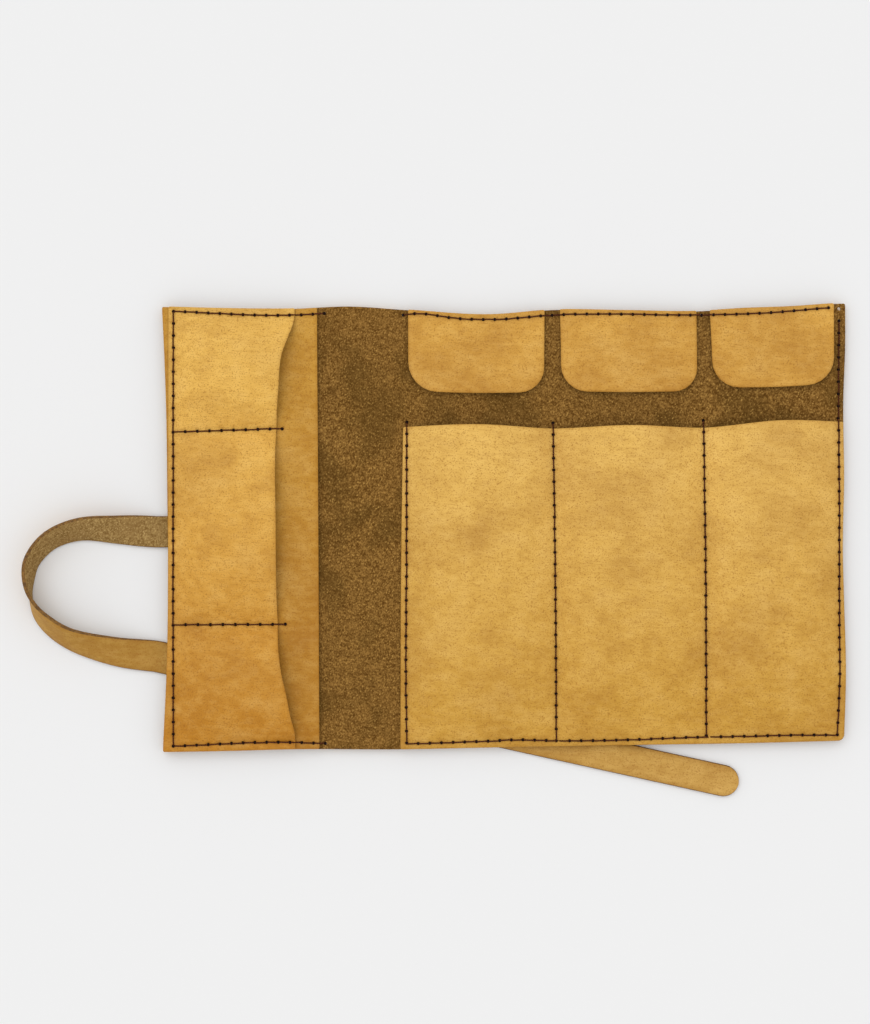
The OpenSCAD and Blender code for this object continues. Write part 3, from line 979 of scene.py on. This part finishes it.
@dataclass(frozen=True)
class Thread:
    """Waxed thread of a row of stitches, on both faces of the leather."""

    radius: float = 0.37
    plug_r: float = 0.76
    dip: float = 1.0
    hole_offset: float = 0.4
    sides: int = 7
    wander: float = 0.14

    def stitch(self, a: Array, b: Array, top: Callable[[Array], Array], up: float) -> tuple[Array, list]:
        """One stitch, which comes out of a hole, lies on the leather and goes into the next hole.

        Args:
            a: Middle of the first hole.
            b: Middle of the second.
            top: Height of the leather at points.
            up: 1 on the upper face and -1 on the lower one.

        Returns:
            The stitch's points in case millimetres, and its faces.
        """
        length = float(np.linalg.norm(b - a))
        along = (b - a) / length
        side = np.array((along[1], -along[0]))
        offset = self.hole_offset
        steps = np.array((offset, offset + 0.12, offset + 0.5, 1.5, length / 3, length / 2))
        lifts = np.array((-self.dip, -0.25, 0.12, 0.26, 0.3, 0.3))
        steps = np.concatenate((steps, length - steps[-2::-1]))
        lifts = np.concatenate((lifts, lifts[-2::-1]))
        flat = a + along * steps[:, None]
        centre = np.column_stack((flat, top(flat) + up * lifts * (1 if up > 0 else 0.45)))
        forward = np.gradient(centre, axis=0)
        forward /= np.linalg.norm(forward, axis=1)[:, None]
        sideways = np.array((*side, 0.0))
        normal = np.cross(np.broadcast_to(sideways, forward.shape), forward)
        turn = np.arange(self.sides) * 2 * math.pi / self.sides
        spoke = np.cos(turn)[None, :, None] * sideways + np.sin(turn)[None, :, None] * normal[:, None, :]
        points = (centre[:, None, :] + self.radius * spoke).reshape(-1, 3)
        k, rings = self.sides, len(centre)
        faces = [(r * k + i, (r + 1) * k + i, (r + 1) * k + (i + 1) % k, r * k + (i + 1) % k)
                 for r in range(rings - 1) for i in range(k)]
        faces += [tuple(range(k)), tuple(reversed(range((rings - 1) * k, rings * k)))]
        return points, faces

    def plug(self, hole: Array, top: Callable[[Array], Array], up: float) -> tuple[Array, list]:
        """The bunched thread that fills a hole, coloured near-black as painted shade in the hole.

        Args:
            hole: Middle of the hole.
            top: Height of the leather at points.
            up: 1 on the upper face and -1 on the lower one.

        Returns:
            The plug's points in case millimetres, and its faces.
        """
        turn = np.arange(self.sides + 1) * 2 * math.pi / (self.sides + 1)
        spokes = self.plug_r * np.column_stack((np.cos(turn), np.sin(turn)))
        level, depth = float(top(hole[None])[0]), self.dip * (1 if up > 0 else 0.45)
        stages = ((-depth, 0.8), (-0.3 * depth, 1.0), (-0.12 * depth, 1.0), (0.05 * depth, 0.6))
        rings = [np.column_stack((hole + spokes * share, np.full(len(turn), level + up * lift)))
                 for lift, share in stages]
        k, last = len(turn), len(stages) - 1
        faces = [(r * k + i, r * k + (i + 1) % k, (r + 1) * k + (i + 1) % k, (r + 1) * k + i)
                 for r in range(last) for i in range(k)]
        faces += [tuple(reversed(range(k))), tuple(range(last * k, (last + 1) * k))]
        if up < 0:
            faces = [tuple(reversed(face)) for face in faces]
        return np.concatenate(rings), faces

    def build(self, name: str, holes: Array, plugs: Array, top: Callable[[Array], Array],
              under: Callable[[Array], Array], materials: Sequence[bpy.types.Material],
              seed: int) -> bpy.types.Object:
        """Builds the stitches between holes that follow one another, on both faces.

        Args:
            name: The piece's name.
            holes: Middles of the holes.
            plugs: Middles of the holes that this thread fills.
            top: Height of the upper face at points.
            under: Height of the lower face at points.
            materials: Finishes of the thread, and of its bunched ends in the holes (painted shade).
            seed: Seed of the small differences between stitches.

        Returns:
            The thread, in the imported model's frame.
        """
        dice = random.Random(seed)
        made, kinds = [], []
        for surface, up in ((top, 1.0), (under, -1.0)):
            for a, b in zip(holes, holes[1:]):
                sway_a = [dice.uniform(-self.wander, self.wander) for _ in range(2)]
                sway_b = [dice.uniform(-self.wander, self.wander) for _ in range(2)]
                made.append(self.stitch(a + sway_a, b + sway_b, surface, up))
                kinds += [0] * len(made[-1][1])
            for hole in plugs:
                made.append(self.plug(hole, surface, up))
                kinds += [1] * len(made[-1][1])
        starts = np.cumsum([0] + [len(points) for points, _ in made])
        faces = [tuple(int(start) + i for i in face)
                 for start, (_, loops) in zip(starts, made) for face in loops]
        points = np.concatenate([points for points, _ in made])
        return mesh_piece(name, in_frame(points), faces, kinds, materials, 70)


# ---- Sub-assemblies ----


@dataclass
class OuterLeather:
    """The outer leather: one sheet, suede side up, made in four stretches, each with a finer mesh over one
    fold.
    """

    shop: Workshop
    holes: Array
    work: Leatherwork = field(default_factory=lambda: Leatherwork(coarse=3.0))
    right_corner: float = 3.0
    spine_split: float = 96.25
    splits: tuple[float, ...] = ()

    def panel(self) -> Panel:
        """The whole sheet."""
        return Panel(OUTER_BOTTOM, OUTER_RIGHT, OUTER_TOP, OUTER_LEFT, LAYERS.outer, CASE.outer_t,
                     (0.8, self.right_corner, 1.0, 0.8))

    def build(self) -> list[bpy.types.Object]:
        """Builds the four stretches."""
        panel = self.panel()
        cuts = (None, self.spine_split, *self.splits, None)
        plan = (
            ("outer_leather_card_end", SPINE_FOLD, ("outer_panel_card",)),
            ("outer_leather_spine", BAY_1_FOLD, ("outer_panel_spine",)),
            ("outer_leather_middle", BAY_2_FOLD, ("outer_panel_bay_1", "outer_panel_bay_2")),
            ("outer_leather_pen_end", BAY_3_FOLD, ("outer_panel_bay_3",)),
        )
        pieces = []
        for (name, fold, nodes), start, end in zip(plan, cuts, cuts[1:]):
            piece = self.work.build(name, panel, (start, end), self.holes, [fold],
                                    (self.shop.suede, self.shop.pen_grain, self.shop.edge, self.shop.thread_and_hole_shade))
            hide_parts(*nodes)
            carry(piece, fold)
            pieces.append(piece)
        return pieces


@dataclass
class CardPockets:
    """Two layers sewn on at the left: a straight lower pocket, and an upper one with a scooped edge."""

    shop: Workshop
    holes: Array
    work: Leatherwork = field(default_factory=lambda: Leatherwork(coarse=2.5))

    def lower_panel(self) -> Panel:
        """The lower pocket."""
        return Panel(OUTER_BOTTOM.moved(0.1), CARD_EDGE, OUTER_TOP.moved(-0.1), OUTER_LEFT.moved(0.1),
                     LAYERS.card_lower, CASE.pocket_t)

    def upper_panel(self) -> Panel:
        """The scooped pocket."""
        return Panel(OUTER_BOTTOM.moved(0.2), SCOOP, OUTER_TOP.moved(0.1), UPPER_LEFT,
                     LAYERS.card_upper, CASE.pocket_t)

    def build(self) -> list[bpy.types.Object]:
        """Builds both pockets."""
        plan = (
            ("lower_card_pocket", self.lower_panel(), "card_pocket_lower", self.shop.lower_grain,
             CASE.card_w),
            ("scooped_card_pocket", self.upper_panel(), "card_pocket_scooped", self.shop.card_grain,
             CASE.upper_corner_x),
        )
        pieces = []
        for name, panel, node, grain, width in plan:
            piece = self.work.build(name, panel, (None, None), self.holes, [],
                                    (grain, self.shop.suede, self.shop.edge, self.shop.thread_and_hole_shade))
            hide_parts(node)
            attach(piece, "card_section")
            log.info("%s: %.0f x %.0f mm", name, width, CASE.width)
            pieces.append(piece)
        return pieces


@dataclass
class PenPockets:
    """One sheet that makes the three pen pockets, in two stretches, each with a finer mesh over a fold beside
    a divider.
    """

    shop: Workshop
    holes: Array
    split: float
    work: Leatherwork = field(default_factory=lambda: Leatherwork(coarse=2.5))

    def panel(self) -> Panel:
        """The whole sheet."""
        return Panel(OUTER_BOTTOM.moved(0.15), OUTER_RIGHT.moved(-0.25), MOUTH, PEN_LEFT, LAYERS.pens,
                     CASE.pocket_t, (0.8, 3.0, 0.8, 0.8))

    def build(self) -> list[bpy.types.Object]:
        """Builds the two stretches."""
        panel = self.panel()
        plan = (
            ("pen_pockets_left", (None, self.split), BAY_2_FOLD, ("pen_pocket_1", "pen_pocket_2")),
            ("pen_pockets_right", (self.split, None), BAY_3_FOLD, ("pen_pocket_3",)),
        )
        pieces = []
        for name, part, fold, nodes in plan:
            piece = self.work.build(name, panel, part, self.holes, [fold],
                                    (self.shop.pen_grain, self.shop.suede, self.shop.edge, self.shop.thread_and_hole_shade))
            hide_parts(*nodes)
            carry(piece, fold)
            pieces.append(piece)
        return pieces


@dataclass
class Flaps:
    """Three flaps over the ends of the pens, each sewn down by its hem and loose below it."""

    shop: Workshop
    holes: Array
    work: Leatherwork = field(default_factory=lambda: Leatherwork(coarse=2.0))
    corners: tuple[tuple[float, float], ...] = ((14.0, 12.0), (13.0, 11.5), (13.0, 13.0))
    bend_above: float = 0.9
    bend_below: float = 3.2
    lefts: tuple[Guide, ...] = (
        Guide(span("flap_1")[0].x, ((172, 0.3), (213, 0.1))),
        Guide(span("flap_2")[0].x, ((172, 0.0), (190, 0.2), (213, -0.3))),
        Guide(span("flap_3")[0].x, ((174, 0.9), (195, 0.3), (213, -0.6))),
    )
    rights: tuple[Guide, ...] = (
        Guide(span("flap_1")[1].x, ((172, -0.9), (213, -0.6))),
        Guide(span("flap_2")[1].x, ((172, 0.5), (213, 0.1))),
        Guide(span("flap_3")[1].x, ((176, 0.0), (213, 0.1))),
    )
    ends: tuple[Guide, ...] = (
        Guide(span("flap_1")[0].y, ((119, 0.4), (150, -0.6), (186, -0.2))),
        Guide(span("flap_2")[0].y, ((193, 0.3), (225, -0.2), (260, 0.3))),
        Guide(span("flap_3")[0].y, ((266, 2.0), (300, 2.4), (327, 4.0))),
    )

    def panels(self) -> list[Panel]:
        """The three flaps."""
        return [Panel(end, right, OUTER_TOP.moved(0.25), left, LAYERS.flap, CASE.pocket_t, (*low, 0.8, 0.8))
                for left, right, end, low in zip(self.lefts, self.rights, self.ends, self.corners)]

    def build(self) -> list[bpy.types.Object]:
        """Builds the flaps, each with a finer mesh over a fold just below its hem."""
        pieces = []
        for i, panel in enumerate(self.panels(), start=1):
            name = f"pen_flap_{i}"
            low, high = span(f"flap_{i}")
            bend_top, bend_end = high.y + self.bend_above, high.y - self.bend_below
            fold = Fold(f"flap_{i}_lift", (low.x, bend_top), (low.x, bend_end))
            piece = self.work.build(name, panel, (None, None), self.holes, [fold],
                                    (self.shop.flap_grain, self.shop.suede, self.shop.edge, self.shop.thread_and_hole_shade))
            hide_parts(f"flap_{i}", f"flap_hem_{i}")
            carry(piece, fold)
            pieces.append(piece)
        return pieces


@dataclass
class Strap:
    """The tie strap: sewn under the card section, looped out and twisted over, and back under the case."""

    shop: Workshop
    width: float = 15.3
    thickness: float = span("strap_tail")[1].z - span("strap_tail")[0].z
    anchor_len: float = 55.0
    anchor_drop: float = 2.7
    anchor_steps: int = 14
    tip_shift: tuple[float, float] = (-2.5, -0.6)
    lift: float = 0.3
    edge: float = 0.35
    steps: int = 8
    tip_steps: int = 8
    run_steps: int = 130
    bend_half: float = 4.1
    # From where the loop leaves the left edge to where it goes back under: X, Y from the sewn end, and
    # the strap's twist in degrees, which starts and ends outside the edge
    loop: tuple[tuple[float, float, float], ...] = (
        (-4, 0, 0), (-22, 1, 28), (-40, 1.3, 47), (-54.3, -3.7, 59), (-63.2, -13.3, 70), (-65.4, -23.3, 82),
        (-64, -33.2, 100), (-58, -43.2, 120), (-45, -52.3, 133), (-24, -58.3, 156), (-4, -60.9, 180),
    )

    @property
    def anchor_y(self) -> float:
        """Where the sewn end lies across the case."""
        return CASE.width / 2 - self.anchor_drop

    def tip(self) -> Array:
        """Middle of the round end of the strap."""
        low, high = span("strap_tail")
        centre = np.array((high.x - self.width / 2, low.y + self.width / 2))
        return centre + self.tip_shift

    def way(self) -> Array:
        """Direction of the straight run under the case, from the loop to the round end."""
        start = np.array((self.loop[-1][0], self.anchor_y + self.loop[-1][1]))
        return (self.tip() - start) / np.linalg.norm(self.tip() - start)

    def route(self) -> Array:
        """The strap's middle line, as rows of X, Y, twist in degrees, lift and half width."""
        half = self.width / 2
        rows = [(x, self.anchor_y, 0.0, self.lift, half)
                for x in np.linspace(self.anchor_len, -self.loop[0][0], self.anchor_steps)]
        knots = np.array(self.loop) + (0, self.anchor_y, 0)
        spans = np.arange(len(knots))
        for t in np.linspace(0, len(knots) - 1, (len(knots) - 1) * self.steps + 1):
            x, y, twist = (float(eased(np.array(t), spans, knots[:, i])) for i in range(3))
            rows.append((x, y, min(max(twist, 0.0), 180.0), self.lift * max(0.0, 1 - t), half))
        start, tip = knots[-1, :2], self.tip()
        for t in np.linspace(0, 1, self.run_steps + 1)[1:]:
            rows.append((*(start + (tip - start) * t), 180.0, 0.0, half))
        for turn in np.linspace(0, math.pi / 2, self.tip_steps + 1)[1:]:
            end = tip + half * math.sin(turn) * self.way()
            rows.append((*end, 180.0, 0.0, max(half * math.cos(turn), 0.5)))
        return np.array(rows)

    def build(self) -> bpy.types.Object:
        """Builds the strap as one ribbon with rounded edges; at the fold where its free end begins it only
        bakes its placement.
        """
        rows = self.route()
        along = np.gradient(rows[:, :2], axis=0)
        along /= np.linalg.norm(along, axis=1)[:, None]
        right = np.stack((along[:, 1], -along[:, 0]), axis=1)
        twist = np.radians(rows[:, 2])
        across = np.column_stack((right * np.cos(twist)[:, None], np.sin(twist)))
        normal = np.column_stack((-right * np.sin(twist)[:, None], np.cos(twist)))
        half, thick, edge = rows[:, 4], self.thickness / 2, self.edge
        height = rows[:, 3] + np.abs(across[:, 2]) * half + np.abs(normal[:, 2]) * thick
        centre = np.column_stack((rows[:, :2], height))
        section = ((-1, -edge, -1, 0), (-0.5, 0, -1, 0), (0, 0, -1, 0), (0.5, 0, -1, 0), (1, -edge, -1, 0),
                   (1, 0, -1, edge), (1, 0, 1, -edge), (1, -edge, 1, 0), (0.5, 0, 1, 0), (0, 0, 1, 0),
                   (-0.5, 0, 1, 0), (-1, -edge, 1, 0), (-1, 0, 1, -edge), (-1, 0, -1, edge))
        rings = []
        for share, cut, side, shave in section:
            wide = share * half + math.copysign(1, share) * cut * (abs(share) == 1)
            rings.append(centre + across * wide[:, None] + normal * (side * thick + shave))
        points = np.stack(rings, axis=1)
        n, k = points.shape[:2]
        faces = [(r * k + i, (r + 1) * k + i, (r + 1) * k + (i + 1) % k, r * k + (i + 1) % k)
                 for r in range(n - 1) for i in range(k)]
        kinds = [self.kind(i) for _ in range(n - 1) for i in range(k)]
        faces += [tuple(range(k)), tuple(reversed(range((n - 1) * k, n * k)))]
        piece = mesh_piece("tie_strap", in_frame(points.reshape(-1, 3)), faces, kinds + [2, 2],
                           (self.shop.strap_suede, self.shop.strap_grain, self.shop.edge))
        edges = np.array([1.0 if i in (0, 4, 5, 6, 7, 11, 12, 13) else 0.0 for i in range(k)])
        write_wear(piece, np.tile(edges, n))
        joint = next(j for j in frame["joints"] if j["name"] == "tail_bend")
        hinge = np.array((Vector(joint["pos_m"]) - CASE_ZERO) / MM)[:2]
        reach = self.way() * self.bend_half
        fold = Fold("tail_bend", tuple(hinge - reach), tuple(hinge + reach))
        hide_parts("strap", "strap_tail")
        carry(piece, fold)
        return piece

    def kind(self, corner: int) -> int:
        """Finish of the strip after a corner of the section: 0 suede, 1 grain, 2 cut edge."""
        return 1 if corner < 4 else 0 if 7 <= corner < 11 else 2


@dataclass
class Stitching:
    """All rows of stitches, and the thread of each."""

    shop: Workshop
    thread: Thread = field(default_factory=Thread)
    seams: dict[str, Seam] = field(default_factory=lambda: {
        "card_left": Seam(CARD_LEFT_SEAM, 0.0, 211.6, upright=True, pitch=5.9),
        "card_top": Seam(CARD_TOP_SEAM, 5.1, 78.4),
        "card_bottom": Seam(CARD_BOTTOM_SEAM, 5.0, 78.8),
        "card_upper": Seam(CARD_UPPER_SEAM, 4.9, 57.9, pitch=5.9),
        "card_lower": Seam(CARD_LOWER_SEAM, 4.9, 59.4, pitch=6.05),
        "pen_left": Seam(PEN_LEFT_SEAM, 1.4, 157.8, upright=True),
        "divider_1": Seam(DIVIDER_1_SEAM, 2.5, 157.4, upright=True),
        "divider_2": Seam(DIVIDER_2_SEAM, 5.0, 158.6, upright=True),
        "pen_right": Seam(RIGHT_SEAM, 5.4, 207.2, upright=True, pitch=5.9),
        "right_open": Seam(RIGHT_SEAM, 207.2, 213.1, upright=True, pitch=5.9),
        "pen_bottom": Seam(PEN_BOTTOM_SEAM, 118.5, 328.5),
        "flaps": Seam(FLAP_SEAM, 116.8, 324.1, pitch=5.6),
    })
    # Rows meet in one hole where two of their holes are closer than this
    shared_within: float = 1.7
    # Where the rows that cross the folds are divided into the pieces of the three bays
    bay_ends: tuple[float, float] = (195.5, 259.5)

    def all_holes(self) -> Array:
        """Middles of all holes, without those that two rows share."""
        found: list[Array] = []
        for seam in self.seams.values():
            for hole in seam.holes():
                if all(np.linalg.norm(hole - other) > self.shared_within for other in found):
                    found.append(hole)
        return np.array(found)

    def clear_place(self, low: float, high: float) -> float:
        """A place along the case, between two others, that is as far as can be from every hole."""
        holes = self.all_holes()[:, 0]
        places = np.linspace(low, high, 41)
        return float(places[np.argmax([np.abs(holes - x).min() for x in places])])

    def build(self, panels: Sequence[Panel]) -> list[bpy.types.Object]:
        """Builds the thread of every row.

        Args:
            panels: The panels that the stitches lie on.

        Returns:
            The thread pieces.
        """

        def top(points: Array) -> Array:
            """Height of the uppermost leather at points."""
            return np.max([panel.surface(points) for panel in panels], axis=0)

        def under(points: Array) -> Array:
            """Height of the outer leather's underside at points."""
            return LAYERS.outer(points[:, 0], points[:, 1])

        far = math.inf
        one, two = self.bay_ends
        plan = (
            ("thread_card_left", "card_left", "card_section", 0, far),
            ("thread_card_top", "card_top", "card_section", 0, far),
            ("thread_card_bottom", "card_bottom", "card_section", 0, far),
            ("thread_card_divider_upper", "card_upper", "card_section", 0, far),
            ("thread_card_divider_lower", "card_lower", "card_section", 0, far),
            ("thread_pen_left", "pen_left", "bay_1", 0, far),
            ("thread_divider_1", "divider_1", BAY_2_FOLD, 0, far),
            ("thread_divider_2", "divider_2", BAY_3_FOLD, 0, far),
            ("thread_pen_right", "pen_right", "bay_3", 0, far),
            ("thread_pen_bottom_1", "pen_bottom", BAY_2_FOLD, 0, one),
            ("thread_pen_bottom_2", "pen_bottom", "bay_2", one, two),
            ("thread_pen_bottom_3", "pen_bottom", BAY_3_FOLD, two, far),
            ("thread_flap_1", "flaps", BAY_2_FOLD, 0, one),
            ("thread_flap_2", "flaps", "bay_2", one, two),
            ("thread_flap_3", "flaps", BAY_3_FOLD, two, far),
        )
        pieces: list[bpy.types.Object] = []
        filled: list[Array] = []
        for seed, (node, row, carrier, start, end) in enumerate(plan):
            holes = self.seams[row].holes()
            first = int((holes[:, 0] < start).sum())
            last = int((holes[:, 0] < end).sum())
            chosen = holes[max(first - 1, 0):last]
            fresh = [hole for hole in chosen
                     if all(np.linalg.norm(hole - other) > self.shared_within for other in filled)]
            filled += fresh
            piece = self.thread.build(node.replace("thread_", "stitches_"), chosen, fresh, top, under,
                                      (self.shop.thread, self.shop.thread_and_hole_shade), seed)
            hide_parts(node)
            carry(piece, carrier)
            log.info("%s: %d stitches", piece.name, len(chosen) - 1)
            pieces.append(piece)
        return pieces


@dataclass
class StrapBox:
    """The small rectangle of stitches that holds the strap to the outer leather."""

    shop: Workshop
    thread: Thread = field(default_factory=lambda: Thread(radius=0.24, plug_r=0.4, dip=0.5))
    pitch: float = 5.2
    top_sink: float = 0.25
    under_z: float = 0.42
    seed: int = 99

    def build(self) -> bpy.types.Object:
        """Builds the stitches round the rectangle, over the strap's underside and the outer leather."""
        strap_y = middle("thread_strap_anchor").y
        low, high = span("thread_strap_anchor")
        half = (high.y - low.y) / 2
        corners = np.array(((low.x, strap_y - half), (high.x, strap_y - half), (high.x, strap_y + half),
                            (low.x, strap_y + half), (low.x, strap_y - half)))
        holes = [corners[0]]
        for a, b in zip(corners, corners[1:]):
            count = max(2, round(float(np.linalg.norm(b - a)) / self.pitch))
            holes += [a + (b - a) * i / count for i in range(1, count + 1)]
        piece = self.thread.build("stitches_strap_box", np.array(holes), np.array(holes[1:]),
                                  lambda p: LAYERS.base(p[:, 0], p[:, 1]) - self.top_sink,
                                  lambda p: np.full(len(p), self.under_z),
                                  (self.shop.thread, self.shop.thread_and_hole_shade), self.seed)
        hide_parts("thread_strap_anchor")
        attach(piece, "card_section")
        log.info("stitches_strap_box: %d stitches", len(holes) - 1)
        return piece


@dataclass(frozen=True)
class Studio:
    """A pale table, soft light from above and one broad lamp, and a camera straight overhead."""

    lens_mm: float = 85.0
    camera_h: float = 1.1835
    aim: tuple[float, float] = (0.0011, 0.0192)
    table_size: float = 9.0
    sky: float = 0.79
    lamp_power: float = 0.67
    lamp_angle: float = 60.0
    lamp_at: tuple[float, float, float] = (-0.35, 0.5, 1.3)

    def build(self) -> None:
        """Sets up the table, the light and the camera."""
        half = self.table_size / 2
        corners = np.array(((-half, -half, 0.0), (half, -half, 0.0), (half, half, 0.0), (-half, half, 0.0)))
        table = mesh_piece("pale_table", corners, [(0, 1, 2, 3)], [0], [PaleTable("pale_matt_table").make()])
        scene = bpy.context.scene
        scene.view_settings.view_transform = "Standard"
        world = bpy.data.worlds.new("even_studio_light")
        world.use_nodes = True
        background = world.node_tree.nodes["Background"]
        background.inputs["Color"].default_value = linear("#ffffff")
        background.inputs["Strength"].default_value = self.sky
        scene.world = world
        lamp = bpy.data.lights.new("broad_soft_lamp", "SUN")
        lamp.angle = math.radians(self.lamp_angle)
        lamp.energy = self.lamp_power
        lamp_object = bpy.data.objects.new("broad_soft_lamp", lamp)
        lamp_object.location = self.lamp_at
        aim = Vector((*self.aim, 0.0))
        lamp_object.rotation_euler = (aim - Vector(self.lamp_at)).to_track_quat("-Z", "Y").to_euler()
        scene.collection.objects.link(lamp_object)
        camera = bpy.data.cameras.new("overhead_camera")
        camera.lens = self.lens_mm
        camera_object = bpy.data.objects.new("overhead_camera", camera)
        camera_object.location = (*self.aim, self.camera_h)
        scene.collection.objects.link(camera_object)
        scene.camera = camera_object


def main() -> None:
    """Builds the studio and the case."""
    logging.basicConfig(level=logging.INFO, format="%(name)s: %(message)s")
    Studio().build()
    shop = Workshop()
    stitching = Stitching(shop)
    holes = stitching.all_holes()
    splits = tuple(stitching.clear_place(*part) for part in ((148, 160), (224, 232)))
    outer = OuterLeather(shop, holes, splits=splits)
    cards = CardPockets(shop, holes)
    pens = PenPockets(shop, holes, splits[-1])
    flaps = Flaps(shop, holes)
    for part in (outer, cards, pens, flaps):
        part.build()
    Strap(shop).build()
    StrapBox(shop).build()
    panels = [outer.panel(), cards.lower_panel(), cards.upper_panel(), pens.panel(), *flaps.panels()]
    stitching.build(panels)


if __name__ == "__main__":
    main()
